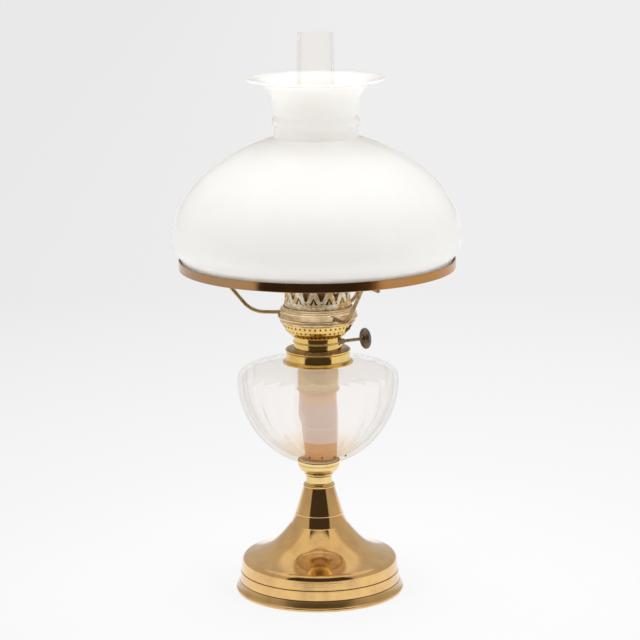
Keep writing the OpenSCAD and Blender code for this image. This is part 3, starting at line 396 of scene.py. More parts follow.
# %% [markdown]
# ## Glass
# The font and the chimney are clear soda glass, pressed and blown. Even walls hardly bend the view, so most
# of the light passes straight, and the index of refraction is set far below the 1.52 of real soda glass.
# Lamp light and scattered light pass straight as well, so that the wick inside and the table behind
# aren't left in the dark. The bottom of the font keeps an amber stain from old oil. Mirrored in the foot,
# its bowl gets a painted shade: a darker tint than the eye sees.
# The shade is opal glass: milky all through, shiny on its skin, and light also glows through its wall.

# %% Clear glass
GLASS_TINT, EDGE_SHADE_TINT, EDGE_POWER = "fffefd", "f5f4f2", 3.0
GLASS_RIPPLE = 14                                            # size in mm
OIL_STAIN, OIL_STAIN_TOP, OIL_STAIN_FADE = "faeedd", 134, 14
CEMENT_TOP, CEMENT_FADE, CEMENT_STRAIGHT = 121, 40, 0.96     # near the cement, more light passes straight
# Painted shade: mirrored in the foot, the low bowl is tinted darker up to this height in mm.
MIRROR_SHADE_TINT, MIRROR_SHADE_TOP = "e6dccf", 190


def clear_glass(name, stained, index, straight):
    """Clear glass with an index of refraction and a share of light that passes straight."""
    material, tree = new_material(name)
    place = add(tree, "ShaderNodeTexCoord").outputs["Object"]
    height = add(tree, "ShaderNodeSeparateXYZ", {0: place}).outputs[2]
    ripple = add(tree, "ShaderNodeTexNoise", {
        "Vector": place, "Scale": 1 / (GLASS_RIPPLE * MM), "Detail": 1.0})
    bump = add(tree, "ShaderNodeBump", {"Height": ripple.outputs[0], "Strength": 0.05, "Distance": 2 * MM})
    low = add(tree, "ShaderNodeMapRange", {
        "Value": height, "From Min": OIL_STAIN_TOP * MM, "From Max": (OIL_STAIN_TOP - OIL_STAIN_FADE) * MM})
    tint = add(tree, "ShaderNodeMix", {
        "Factor": low.outputs[0], 6: linear(GLASS_TINT), 7: linear(OIL_STAIN if stained else GLASS_TINT)},
        data_type="RGBA")
    glass = add(tree, "ShaderNodeBsdfPrincipled", {
        "Base Color": tint.outputs[2], "Transmission Weight": 1.0, "Roughness": 0.0, "IOR": index,
        "Normal": bump.outputs[0]})
    # Toward its edges the glass turns a little grey: partly the longer path through it, partly painted shade
    # for the darker surroundings that refraction shows there.
    slant = add(tree, "ShaderNodeLayerWeight", {"Blend": 0.5})
    steep = add(tree, "ShaderNodeMath", {0: slant.outputs["Facing"], 1: EDGE_POWER}, operation="POWER")
    edge_shaded = add(tree, "ShaderNodeMix", {
        "Factor": steep.outputs[0], 6: tint.outputs[2], 7: linear(EDGE_SHADE_TINT)}, data_type="RGBA")
    ray = add(tree, "ShaderNodeLightPath")
    # Painted shade: rays mirrored off the foot see the low bowl in a darker tint.
    mirror_shade = add(tree, "ShaderNodeMapRange", {
        "Value": height, "From Min": MIRROR_SHADE_TOP * MM, "From Max": CEMENT_TOP * MM,
        "To Max": 1.0 if stained else 0.0})
    mirror_shaded = add(tree, "ShaderNodeMix", {
        "Factor": mirror_shade.outputs[0], 6: edge_shaded.outputs[2], 7: linear(MIRROR_SHADE_TINT)}, data_type="RGBA")
    looked_at = add(tree, "ShaderNodeMix", {
        "Factor": mirrored_ray(tree, ray), 6: edge_shaded.outputs[2], 7: mirror_shaded.outputs[2]}, data_type="RGBA")
    scattered = add(tree, "ShaderNodeMath", {
        0: ray.outputs["Is Shadow Ray"], 1: ray.outputs["Is Diffuse Ray"]}, operation="MAXIMUM")
    let_in = add(tree, "ShaderNodeMix", {
        "Factor": scattered.outputs[0], 6: looked_at.outputs[2], 7: linear(GLASS_TINT)}, data_type="RGBA")
    through = add(tree, "ShaderNodeBsdfTransparent", {"Color": let_in.outputs[2]})
    free = add(tree, "ShaderNodeMapRange", {
        "Value": height, "From Min": CEMENT_TOP * MM, "From Max": (CEMENT_TOP + CEMENT_FADE) * MM,
        "To Min": CEMENT_STRAIGHT, "To Max": straight})
    passes = add(tree, "ShaderNodeMath", {0: scattered.outputs[0], 1: free.outputs[0]}, operation="MAXIMUM")
    finish_material(tree, add(tree, "ShaderNodeMixShader", {
        0: passes.outputs[0], 1: glass.outputs[0], 2: through.outputs[0]}))
    print(name, "nodes:", len(tree.nodes))
    return material


font_clear = clear_glass("pressed_clear_glass", True, 1.15, 0.86)
chimney_clear = clear_glass("blown_clear_glass", False, 1.08, 0.92)

# %% Opal glass
OPAL_CLOUD, OPAL_RIPPLE = 40, 25     # sizes in mm
OPAL_GLOW = 10                       # how far light spreads in the wall, in mm
opal, tree = new_material("opal_glass")
place = add(tree, "ShaderNodeTexCoord").outputs["Object"]
milk = add(tree, "ShaderNodeTexNoise", {"Vector": place, "Scale": 1 / (OPAL_CLOUD * MM), "Detail": 2.0})
tone = add(tree, "ShaderNodeMix", {
    "Factor": milk.outputs[0], 6: linear("fcf7f1"), 7: linear("f9f2e9")}, data_type="RGBA")
ripple = add(tree, "ShaderNodeTexNoise", {"Vector": place, "Scale": 1 / (OPAL_RIPPLE * MM), "Detail": 1.0})
bump = add(tree, "ShaderNodeBump", {"Height": ripple.outputs[0], "Strength": 0.04, "Distance": 2 * MM})
finish_material(tree, add(tree, "ShaderNodeBsdfPrincipled", {
    "Base Color": tone.outputs[2], "Roughness": 0.13, "IOR": 1.5, "Normal": bump.outputs[0],
    "Subsurface Weight": 1.0, "Subsurface Radius": (1.0, 0.94, 0.84), "Subsurface Scale": OPAL_GLOW * MM}))
print("opal glass nodes:", len(tree.nodes))

# %% [markdown]
# ## The rule behind the round pieces
# Foot, cup, collar, font, shade and chimney were all spun, turned, blown or pressed, and they follow
# one rule: a profile goes round an axis. The font adds a second rule, flutes that press the wall in.
# Screw and Spin could do the first, but not the flutes, so one Geometry Nodes tree does both:
# it bends a grid round the axis, reading each row's place from a profile mesh.
# Two attributes ride on the profile: the way that a flute presses, and the grime in its hollows.

# %% Geometry Nodes helpers
CREASE = math.radians(32)    # edges that bend more than this stay sharp


def size_tree(name, inputs):
    """A tree with a mesh in, a mesh out and named inputs for sizes."""
    tree = bpy.data.node_groups.new(name, "GeometryNodeTree")
    tree.interface.new_socket("Mesh", in_out="INPUT", socket_type="NodeSocketGeometry")
    for label, kind in inputs.items():
        tree.interface.new_socket(label, in_out="INPUT", socket_type="NodeSocket" + kind)
    tree.interface.new_socket("Mesh", in_out="OUTPUT", socket_type="NodeSocketGeometry")
    return tree, add(tree, "NodeGroupInput").outputs


def finish_tree(tree, mesh, material):
    real = add(tree, "GeometryNodeRealizeInstances", {0: mesh})
    painted = add(tree, "GeometryNodeSetMaterial", {"Geometry": real.outputs[0], "Material": material})
    tree.links.new(painted.outputs[0], add(tree, "NodeGroupOutput").inputs[0])


def grown(piece, tree, values):
    """Runs the tree on a piece and keeps the result as a plain mesh with its faces outwards."""
    modifier = piece.modifiers.new(tree.name, "NODES")
    modifier.node_group = tree
    for item in tree.interface.items_tree:
        if item.in_out == "INPUT" and item.name in values:
            modifier[item.identifier] = values[item.name]
    seen = piece.evaluated_get(bpy.context.evaluated_depsgraph_get())
    mesh = bpy.data.meshes.new_from_object(seen)
    piece.modifiers.remove(modifier)
    piece.data = mesh
    shape = bmesh.new()
    shape.from_mesh(mesh)
    bmesh.ops.recalc_face_normals(shape, faces=shape.faces)
    shape.to_mesh(mesh)
    shape.free()
    mesh.set_sharp_from_angle(angle=CREASE)
    print(piece.name, "faces:", len(mesh.polygons))
    return piece


# %% The turning tree
RIB_SOFT = 0.03      # rounds the sharp line between two ribs
SEAM = 2e-6          # points closer than this, in metres, are joined
turning, size = size_tree("turned_profile", {
    "Sides": "Int", "Flutes": "Int", "Flute Depth": "Float", "Turn": "Float", "Material": "Material"})
count = add(turning, "GeometryNodeAttributeDomainSize", {0: size["Mesh"]}).outputs["Point Count"]
columns = add(turning, "ShaderNodeMath", {0: size["Sides"], 1: 1.0}, operation="ADD")
grid = add(turning, "GeometryNodeMeshGrid", {"Vertices X": columns.outputs[0], "Vertices Y": count})
index = add(turning, "GeometryNodeInputIndex").outputs[0]
row = add(turning, "ShaderNodeMath", {0: index, 1: count}, operation="MODULO")
column = add(turning, "ShaderNodeMath", {0: index, 1: count}, operation="DIVIDE")
whole = add(turning, "ShaderNodeMath", {0: column.outputs[0]}, operation="FLOOR")
share = add(turning, "ShaderNodeMath", {0: whole.outputs[0], 1: size["Sides"]}, operation="DIVIDE")
angle = add(turning, "ShaderNodeMath", {
    0: share.outputs[0], 1: 2 * math.pi, 2: size["Turn"]}, operation="MULTIPLY_ADD")
read = {}
for label, kind in (("place", "FLOAT_VECTOR"), ("press", "FLOAT_VECTOR"), ("dirt", "FLOAT")):
    source = (add(turning, "GeometryNodeInputPosition") if label == "place"
              else add(turning, "GeometryNodeInputNamedAttribute", {"Name": label}, data_type=kind))
    sample = add(turning, "GeometryNodeSampleIndex", {
        "Geometry": size["Mesh"], "Value": source.outputs[0], "Index": row.outputs[0]}, data_type=kind)
    read[label] = sample.outputs[0]
flute_turn = add(turning, "ShaderNodeMath", {0: share.outputs[0], 1: size["Flutes"]}, operation="MULTIPLY")
half_turns = add(turning, "ShaderNodeMath", {0: flute_turn.outputs[0], 1: math.pi}, operation="MULTIPLY")
wave = add(turning, "ShaderNodeMath", {0: half_turns.outputs[0]}, operation="COSINE")
square = add(turning, "ShaderNodeMath", {
    0: wave.outputs[0], 1: wave.outputs[0], 2: RIB_SOFT}, operation="MULTIPLY_ADD")
ridge = add(turning, "ShaderNodeMath", {0: square.outputs[0]}, operation="SQRT")
hollow = add(turning, "ShaderNodeMath", {0: 1.0, 1: ridge.outputs[0]}, operation="SUBTRACT")
depth = add(turning, "ShaderNodeMath", {0: hollow.outputs[0], 1: size["Flute Depth"]}, operation="MULTIPLY")
pressed = add(turning, "ShaderNodeVectorMath", {0: read["press"], 3: depth.outputs[0]}, operation="SCALE")
outline = add(turning, "ShaderNodeVectorMath", {0: read["place"], 1: pressed.outputs[0]}, operation="ADD")
around = add(turning, "ShaderNodeVectorRotate", {
    "Vector": outline.outputs[0], "Angle": angle.outputs[0]}, rotation_type="Z_AXIS")
bent = add(turning, "GeometryNodeSetPosition", {"Geometry": grid.outputs[0], "Position": around.outputs[0]})
grimed = add(turning, "GeometryNodeStoreNamedAttribute", {
    "Geometry": bent.outputs[0], "Name": "dirt", "Value": read["dirt"]}, data_type="FLOAT", domain="POINT")
closed = add(turning, "GeometryNodeMergeByDistance", {"Geometry": grimed.outputs[0], "Distance": SEAM})
smooth = add(turning, "GeometryNodeSetShadeSmooth", {"Geometry": closed.outputs[0]})
finish_tree(turning, smooth.outputs[0], size["Material"])
print("turning tree nodes:", len(turning.nodes))

# %% [markdown]
# Profiles are drawn as lists of radius and height. Curves are Bézier arcs, corners of turned metal are
# eased, because no real edge is sharp, and a wall gets its inner side by insetting the outer one.

# %% Profile helpers
EDGE_REACH = 0.4     # how far a corner's grime and its rounded shading reach in mm
GENTLE = 8           # turns of the outline up to this many degrees belong to a curve
DEEP = 30            # a hollow that turns by this many degrees more is full of grime


def arc(a, b, c, d, steps):
    """Points on a Bézier curve from a to d."""
    points = []
    for i in range(steps + 1):
        t = i / steps
        s = 1 - t
        points.append(tuple(s ** 3 * p + 3 * s * s * t * q + 3 * s * t * t * u + t ** 3 * v
                            for p, q, u, v in zip(a, b, c, d)))
    return points


def eased(corners, radius, steps=3):
    """A closed outline with every corner rounded off."""
    points = []
    for i, corner in enumerate(corners):
        here = Vector(corner)
        before = Vector(corners[i - 1]) - here
        after = Vector(corners[(i + 1) % len(corners)]) - here
        reach = min(radius, before.length * 0.45, after.length * 0.45)
        a, b = here + before.normalized() * reach, here + after.normalized() * reach
        for k in range(steps + 1):
            t = k / steps
            points.append(tuple((1 - t) ** 2 * a + 2 * t * (1 - t) * here + t * t * b))
    return points


def inward(path, i):
    """Unit vector to the left of a path, which is the inner side of an outline that runs upwards."""
    d = Vector(path[min(i + 1, len(path) - 1)]) - Vector(path[max(i - 1, 0)])
    return Vector((-d.y, d.x)).normalized()


def inset(path, wall):
    return [tuple(Vector(p) + wall * inward(path, i)) for i, p in enumerate(path)]


def bend(path, i):
    """Degrees by which a closed outline turns at a point, to the left counted as positive."""
    a = Vector(path[i]) - Vector(path[i - 1])
    b = Vector(path[(i + 1) % len(path)]) - Vector(path[i])
    return math.degrees(math.atan2(a.x * b.y - a.y * b.x, a.x * b.x + a.y * b.y))


def hollows(path, closed):
    """How much grime a point of the outline holds: none on a bulge, most in a sharp hollow."""
    ends = () if closed else (0, len(path) - 1)
    shares = [(-bend(path, i) - GENTLE) / DEEP for i in range(len(path))]
    return [0.0 if i in ends else max(0.0, min(1.0, share)) for i, share in enumerate(shares)]


def drawn(name, points):
    """A bare line through points of radius and height, for a tree to work on."""
    mesh = bpy.data.meshes.new(name)
    steps = [(k, k + 1) for k in range(len(points) - 1)]
    mesh.from_pydata([(r * MM, 0, z * MM) for r, z in points], steps, [])
    piece = bpy.data.objects.new(name, mesh)
    bpy.context.scene.collection.objects.link(piece)
    return piece


def spun(name, path, material, closed=True, sides=192, flutes=0, depth=0.0, turn=0.0, press=None, grime=None,
         film=None):
    """A turned piece as a Blender object, with its place in its mesh.

    Three functions may be given for a point of the outline: press says how far a flute reaches in,
    grime what share of dirt a hollow keeps, and film the least dirt there.
    """
    dirt = [d * (grime(p) if grime else 1.0) for d, p in zip(hollows(path, closed), path)]
    dirt = [max(d, film(p) if film else 0.0) for d, p in zip(dirt, path)]
    ways = [inward(path, i) * (press(p, i) if press else 0.0) for i, p in enumerate(path)]
    rows = [(Vector(p), w, d) for p, w, d in zip(path, ways, dirt)]
    rows += rows[:1] if closed else []
    points = []
    for i, (here, there) in enumerate(zip(rows, rows[1:])):
        points.append(here)
        length = (there[0] - here[0]).length
        stops = [t for k, t in ((i, EDGE_REACH / length), (i + 1, 1 - EDGE_REACH / length))
                 if abs(bend(path, k % len(path))) > GENTLE]
        for t in stops if length > 3 * EDGE_REACH else []:
            points.append((here[0].lerp(there[0], t), here[1].lerp(there[1], t), 0.0))
    points.append(rows[-1])
    piece = drawn(name, [p for p, w, d in points])
    marks = piece.data.attributes
    marks.new("press", "FLOAT_VECTOR", "POINT")
    marks.new("dirt", "FLOAT", "POINT")
    marks["press"].data.foreach_set("vector", [c for p, w, d in points for c in (w.x, 0.0, w.y)])
    marks["dirt"].data.foreach_set("value", [d for p, w, d in points])
    return grown(piece, turning, {
        "Sides": sides, "Flutes": flutes, "Flute Depth": depth * MM, "Turn": turn, "Material": material})


def belongs(piece, body, slot, *replaced):
    """Rides on a body and stands for CAD nodes, which it hides. The slot is not used."""
    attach(piece, body)
    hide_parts(*replaced)


# %% [markdown]
# ## Foot
# The foot is spun from sheet brass: a rolled lip on the table, a cove above it with a painted darker shade
# and a duller gloss, a side with a cut groove, a soft edge, and a skirt that bends up into a steep band and
# the cone.
# A few Bézier arcs would do for its outline. But what a mirror shows depends on its slope, so the skirt is
# drawn by its slope at some radii, which were found from the arch and the dark bar in the photograph.

# %% Foot
FOOT_H = 95
SIDE_FOOT, SIDE_TOP = (72.0, 4.4), (68.6, 29.8)
CONE_TOP = (13.8, 93.4)
FOOT_WALL = 0.9
EDGE_R = 5.4
ROD_HOLE = 3.2
GROOVE_W, GROOVE_D = 0.55, 0.55
GROOVE_LOW, GROOVE_HIGH = 8.9, 17.6
# Painted shade: the cove takes this share of the groove colour and of its roughness.
COVE_SHADE_SHARE = 0.22
CLEAN_ABOVE, CLEAN_SHARE = 30, 0.1     # above its side the foot is wiped, and its hollows keep little grime
LINE_HIGH, LEDGE = 69.6, 0.2
SKIRT = [(66.1, 16), (55, 22), (46, 30), (39, 44), (34, 48), (25.3, 52.4)]     # radius and slope in degrees
BAND = [(25.1, 60), (23.2, 64.5), (21.1, 73)]


def along(a, b, z):
    """Point of a straight line at a height."""
    t = (z - a[1]) / (b[1] - a[1])
    return (a[0] + (b[0] - a[0]) * t, z)


def groove(a, b, z):
    """A cut groove across a straight flank."""
    return [along(a, b, z - GROOVE_W), (along(a, b, z)[0] - GROOVE_D, z), along(a, b, z + GROOVE_W)]


def swept(slopes, height, steps=12):
    """Points of a line whose slope is given at some radii."""
    points = [(slopes[0][0], height)]
    for (r0, s0), (r1, s1) in zip(slopes, slopes[1:]):
        step = (r0 - r1) / steps
        for k in range(steps):
            slope = math.radians(s0 + (s1 - s0) * (k + 0.5) / steps)
            points.append((points[-1][0] - step, points[-1][1] + step * math.tan(slope)))
    return points


side_way = (Vector(SIDE_TOP) - Vector(SIDE_FOOT)).normalized()
skirt_way = Vector((-1, math.tan(math.radians(SKIRT[0][1])))).normalized()
fold = side_way.angle(skirt_way)
reach, handle = EDGE_R * math.tan(fold / 2), EDGE_R * 4 / 3 * math.tan(fold / 4)
corner = Vector(SIDE_TOP)
brow = corner + reach * skirt_way
under = corner - reach * side_way
edge = [tuple(under - 0.5 * side_way)] + arc(
    tuple(under), tuple(under + handle * side_way), tuple(brow - handle * skirt_way), tuple(brow), 12)
lip = [(73.7, 0.0), (74.35, 0.25), (74.6, 0.9)] + arc((74.6, 1.6), (74.6, 2.2), (74.4, 2.6), (74.0, 2.9), 6)
cove = arc((73.9, 3.0), (73.1, 3.8), (71.95, 6.9), (71.55, 8.6), 14)
flank = groove(SIDE_FOOT, SIDE_TOP, GROOVE_LOW)[1:] + groove(SIDE_FOOT, SIDE_TOP, GROOVE_HIGH)
skirt = swept([(brow.x, SKIRT[0][1])] + SKIRT[1:], brow.y)
band = swept(BAND, skirt[-1][1] + LEDGE)
ledge_r, ledge_z = along(band[-1], CONE_TOP, LINE_HIGH)
cone = [(ledge_r + LEDGE, ledge_z), (ledge_r, ledge_z + LEDGE), CONE_TOP]
cone_rim = [(13.95, 93.7), (14.0, 94.5), (13.5, FOOT_H), (ROD_HOLE, FOOT_H), (ROD_HOLE, FOOT_H - 2)]
skin = [SIDE_FOOT] + edge + skirt[1:] + band[1:] + [CONE_TOP]
print("foot: cut line at", [round(v, 1) for v in band[0]], "cone from", [round(v, 1) for v in band[-1]])
foot_outline = (lip + cove + flank + edge + skirt[1:] + band + cone + cone_rim
                + inset(skin, FOOT_WALL)[::-1] + [(71.1, 0.0)])
foot = spun("foot", foot_outline, spun_brass, sides=256,
            grime=lambda p: 1.0 if p[1] < CLEAN_ABOVE else CLEAN_SHARE,
            film=lambda p: COVE_SHADE_SHARE if p in cove[2:-1] else 0.0)
belongs(foot, "base", "brass_foot", "foot_shell")

# %% [markdown]
# ## Cup and collar
# The cup is turned from solid brass: a waisted neck with a small lip, a bead, and a bowl with a banded rim.
# A bed of cement in the bowl carries the font. The collar on the font's neck has a foot that flares out on
# the glass, and a thin lip round its top. A Screw modifier could turn these pieces as well, but the turning
# tree also lays the grime into their grooves.

# %% Cup
BED_R, BED_TOP = 17.5, 117.4


def bead_round(r, z, size, reach, step):
    """Points of a round bead on a wall, up to so many degrees below and above its middle."""
    angles = [math.radians(a) for a in range(-reach, reach + 1, step)]
    return [(r + size * math.cos(a), z + size * math.sin(a)) for a in angles]


neck = ([(13.3, 95.0), (13.5, 95.4), (13.2, 95.9)]
        + arc((12.3, 96.2), (11.9, 96.4), (11.5, 96.7), (11.45, 97.3), 6)
        + arc((11.44, 97.7), (11.4, 99.0), (11.4, 101.6), (11.4, 103.6), 4))
bead = bead_round(11.6, 105.2, size=1.2, reach=80, step=20)
bowl = arc((12.6, 106.9), (16.8, 107.4), (18.2, 110.4), (18.2, 114.3), 14)
band = [(18.3, 114.5), (18.35, 114.9), (18.7, 116.9), (18.6, 117.25), (18.2, BED_TOP)]
socket = [(BED_R, BED_TOP), (BED_R, 115.0), (15.4, 111.9), (6.6, 106.9), (ROD_HOLE, 106.9), (ROD_HOLE, 95.0)]
cup = spun("cup", neck + bead + bowl + band + socket, pale_brass)
belongs(cup, "base", "brass_polished", "font_cup")
bed_outline = [(0.0, 110.4), (10.8, 110.4), (14.6, 112.0), (14.8, 115.0), (BED_R - 0.1, 115.2),
               (BED_R - 0.1, BED_TOP - 0.2), (BED_R - 0.3, BED_TOP), (0.0, BED_TOP)]
bed = spun("cement_bed", bed_outline, plaster, closed=False)
belongs(bed, "base", "plaster", "cup_plaster")

# %% Collar
collar_foot = [(26.6, 205.5), (30.7, 205.5), (30.95, 205.75), (31.0, 206.3), (30.9, 206.7)]
flare = arc((30.6, 206.9), (28.8, 207.1), (27.8, 208.0), (27.8, 209.8), 8)
collar_lip = [(27.8, 215.6), (28.2, 216.0), (28.55, 216.3), (28.6, 216.8), (28.55, 217.3), (28.2, 217.5)]
bore = [(23.0, 217.5), (23.0, 212.2), (26.6, 212.2)]
collar = spun("collar", collar_foot + flare + collar_lip + bore, turned_brass)
belongs(collar, "base", "brass_polished", "font_collar")

# %% [markdown]
# ## Burner housing
# The burner closes on the collar with a stepped flange, and its wheels sit in a short cylinder with one bead.
# The cylinder has two openings, for the air duct at the back and for the spindle. The turning tree only makes
# what goes all the way round, so Booleans cut them out last.

# %% Burner housing
BURNER_GRIME = 0.4
HOUSING_R, HOUSING_FOOT, HOUSING_TOP = 21.3, 219.4, 228.8
flange_outline = [(27.7, 217.6), (27.9, 217.8), (27.75, 218.05), (26.5, 218.2), (26.3, 218.45), (26.1, 218.6),
                  (24.9, 218.75), (24.7, 219.0), (24.5, 219.15), (23.2, 219.25), (23.0, 219.3), (17.8, 219.3),
                  (17.8, 218.2), (21.6, 218.2), (21.6, 212.7), (22.9, 212.7), (22.9, 217.6)]
flange = spun("burner_cap", flange_outline, flange_brass, grime=lambda p: BURNER_GRIME)
belongs(flange, "burner_seat", "brass_polished", "burner_flange")

bead = bead_round(HOUSING_R, 224.8, size=0.6, reach=90, step=18)
inside = [(HOUSING_R - 0.6, HOUSING_TOP), (HOUSING_R - 0.6, 221.4), (14.0, 221.4), (14.0, 220.8),
          (HOUSING_R - 0.8, 220.8), (HOUSING_R - 0.8, HOUSING_FOOT)]
housing_outline = [(HOUSING_R, HOUSING_FOOT)] + bead + [(HOUSING_R, HOUSING_TOP)] + inside
housing = spun("burner_housing", housing_outline, turned_brass, grime=lambda p: BURNER_GRIME)

# %% Openings in the housing
DUCT_AT, DUCT_SIZE = (0, 21, 225.2), (7, 8, 6)
AXLE, SPINDLE_TURN = (7.418, -13.951, 225.4), math.radians(28)
BUSH_R, BUSH_AT, BUSH_LEN = 2.3, 16, 16
at_duct = Matrix.Translation([c * MM for c in DUCT_AT])
on_axle = (Matrix.Translation(Vector(AXLE) * MM) @ Matrix.Rotation(SPINDLE_TURN, 4, "Z")
           @ Matrix.Rotation(math.pi / 2, 4, "Y"))
duct_hole = bmesh.new()
bmesh.ops.create_cube(duct_hole, size=1.0, matrix=at_duct @ Matrix.Diagonal([c * MM for c in DUCT_SIZE] + [1]))
axle_hole = bmesh.new()
bmesh.ops.create_cone(axle_hole, cap_ends=True, segments=32, radius1=BUSH_R * MM, radius2=BUSH_R * MM,
                      depth=BUSH_LEN * MM, matrix=on_axle @ Matrix.Translation((0, 0, BUSH_AT * MM)))
for hole in (duct_hole, axle_hole):
    cutter = bpy.data.objects.new("cutter", bpy.data.meshes.new("cutter"))
    hole.to_mesh(cutter.data)
    hole.free()
    bpy.context.scene.collection.objects.link(cutter)
    cut = housing.modifiers.new("opening", "BOOLEAN")
    cut.object = cutter
    opened = housing.evaluated_get(bpy.context.evaluated_depsgraph_get())
    housing.data = bpy.data.meshes.new_from_object(opened)
    housing.modifiers.clear()
    bpy.data.objects.remove(cutter)
print("housing faces after cutting:", len(housing.data.polygons))
belongs(housing, "burner", "brass_polished", "burner_body")

# %% [markdown]
# ## Oil font
# The font was pressed in a mould with 24 flutes that run down from the shoulder and fade out under the bowl.
# Here the wall follows the flutes on its inner side too, by a smaller share. Pressed glass is seldom sharp,
# and an even wall bends the view less, which is why the real font is so hard to see.

# %% Font
FLUTES = 24
FLUTE_DEPTH = 1.2
FLUTE_TURN = math.radians(4 - 90)
FONT_WALL, FONT_FLOOR = 4.0, 119.3
FLUTE_END_R, SHOULDER_R, FLUTE_FADE = 38, 53, 8
INNER_SHARE = 0.8
WIDEST = (71.0, 191.0)


def fade(r, start):
    t = max(0.0, min(1.0, (r - start) / FLUTE_FADE))
    return t * t * (3 - 2 * t)


def flute_share(point, outer):
    """How deep the flutes are at a point of the wall, counted to the left of the outline."""
    share = fade(point[0], FLUTE_END_R if point[1] < WIDEST[1] else SHOULDER_R)
    return share if outer else -INNER_SHARE * share


bowl_wall = arc((19.5, 117.5), (48.3, 126.3), (71.0, 157.0), WIDEST, 44)
shoulder = arc(WIDEST, (71.0, 199.0), (62.9, 202.5), (53.0, 203.5), 20)
crown = arc((53.0, 203.5), (44.0, 204.3), (35.0, 205.2), (24.5, 205.5), 8)
glass_skin = bowl_wall + shoulder[1:] + crown[1:-1]
outer_wall = [(0.0, 117.5)] + glass_skin + [
    (25.2, 205.5), (24.5, 206.2), (24.5, 211.8), (24.1, 212.2)]
neck_bore = [(20.9, 212.2), (20.5, 211.8), (20.5, 202.4), (21.3, 201.6)]
inner_wall = neck_bore + inset(glass_skin, FONT_WALL)[::-1] + [(17.0, FONT_FLOOR), (0.0, FONT_FLOOR)]
font = spun("font", outer_wall + inner_wall, font_clear, closed=False, sides=FLUTES * 10, flutes=FLUTES,
            depth=FLUTE_DEPTH, turn=FLUTE_TURN,
            press=lambda p, i: flute_share(p, i < len(outer_wall)))
belongs(font, "base", "clear_glass", "font_glass")

# %% [markdown]
# ## Shade and chimney
# The shade was blown into a mould: a drawn-in rim that stands in the ring, a low dome, a neck with one bead,
# and a flared lip that gets thin. The chimney is a plain tube with a wide foot. The walls of blown glass are
# even, so only the outer profile is drawn, and the inner one follows it at the wall's thickness.

# %% Shade
SHADE_WALL, LIP_T = 3.0, 1.8
NECK_R, BEAD_Z, BEAD_HALF = 36.2, 417.8, 5.5
FLARE_STEPS = 24
belly = arc((117.0, 291.5), (117.0, 304.3), (126.2, 304.3), (126.2, 317.1), 20)
dome = arc((126.2, 317.1), (126.2, 355.1), (85.8, 389.5), (36.8, 404.5), 56)
bead = [(NECK_R + 1 + math.cos(math.radians(a)), BEAD_Z + BEAD_HALF * a / 180) for a in range(-180, 181, 12)]
flare = arc((36.8, 424.8), (36.8, 439.8), (41.0, 451.5), (59.5, 453.3), FLARE_STEPS)
body = belly + dome[1:] + bead
walls = [SHADE_WALL + (LIP_T - SHADE_WALL) * i / FLARE_STEPS for i in range(FLARE_STEPS + 1)]
thin = [tuple(Vector(p) + wall * inward(flare, i)) for i, (p, wall) in enumerate(zip(flare, walls))]
lip = [(59.9, 453.6), (60.1, 454.2), (59.9, 454.8)]
shade_outline = body + flare + lip + thin[::-1] + inset(body, SHADE_WALL)[::-1]
shade = spun("shade_glass", shade_outline, opal, sides=256)
belongs(shade, "shade", "opal_glass", "shade")

# %% Chimney
CHIMNEY_WALL = 1.8
tube = [(26.0, 258.9)] + arc((26.0, 292.9), (26.0, 299.4), (18.5, 299.4), (18.5, 305.9), 16) + [(15.5, 493.3)]
chimney_outline = tube + [(15.2, 493.8), (14.4, 493.9), (13.9, 493.5)] + inset(tube, CHIMNEY_WALL)[::-1]
chimney = spun("chimney_glass", chimney_outline, chimney_clear, sides=128)
belongs(chimney, "chimney", "clear_glass", "chimney")

# %% [markdown]
# ## Shade carrier
# A stamped collar drops over the gallery. Its edge is rolled out to a belt, with a groove and two steps above.
# Three wires are soldered into the belt and carry the ring, whose flange holds the shade's rim.
# Belt and ring go all the way round, so they come from the turning tree too.

# %% Carrier collar and ring
BELT_GRIME = 0.25
RING_EASE = 0.48
belt = ([(31.9, 243.5), (32.8, 243.6), (33.2, 244.3), (32.9, 245.0), (32.7, 245.4)]
        + arc((32.9, 245.7), (34.6, 246.2), (35.4, 246.7), (35.3, 247.5), 8)
        + [(35.15, 248.0), (33.3, 251.9), (33.35, 252.1), (33.4, 252.8), (33.2, 253.1), (32.5, 253.5),
           (32.3, 253.9), (32.4, 254.3), (32.1, 254.7), (31.1, 255.0), (30.8, 255.4), (30.65, 256.2),
           (30.4, 256.5), (29.95, 256.5)])
belt_inside = [(29.75, 256.3), (29.75, 254.7), (31.6, 252.9), (33.9, 247.6), (30.65, 243.5)]
carrier = spun("carrier_belt", belt + belt_inside, belt_brass, grime=lambda p: BELT_GRIME)
belongs(carrier, "carrier", "brass_worn", "carrier_collar")

ring_corners = [(109.5, 290.5), (120.5, 290.5), (120.5, 298.5), (119.5, 298.5), (119.5, 291.5), (109.5, 291.5)]
ring = spun("shade_holder", eased(ring_corners, RING_EASE), ring_brass, sides=256)
belongs(ring, "carrier", "brass_aged", "shade_ring")

# %% [markdown]
# The wires are all alike, so a second tree makes them: it sweeps a round section along one bent line,
# and sets copies of it round the axis.

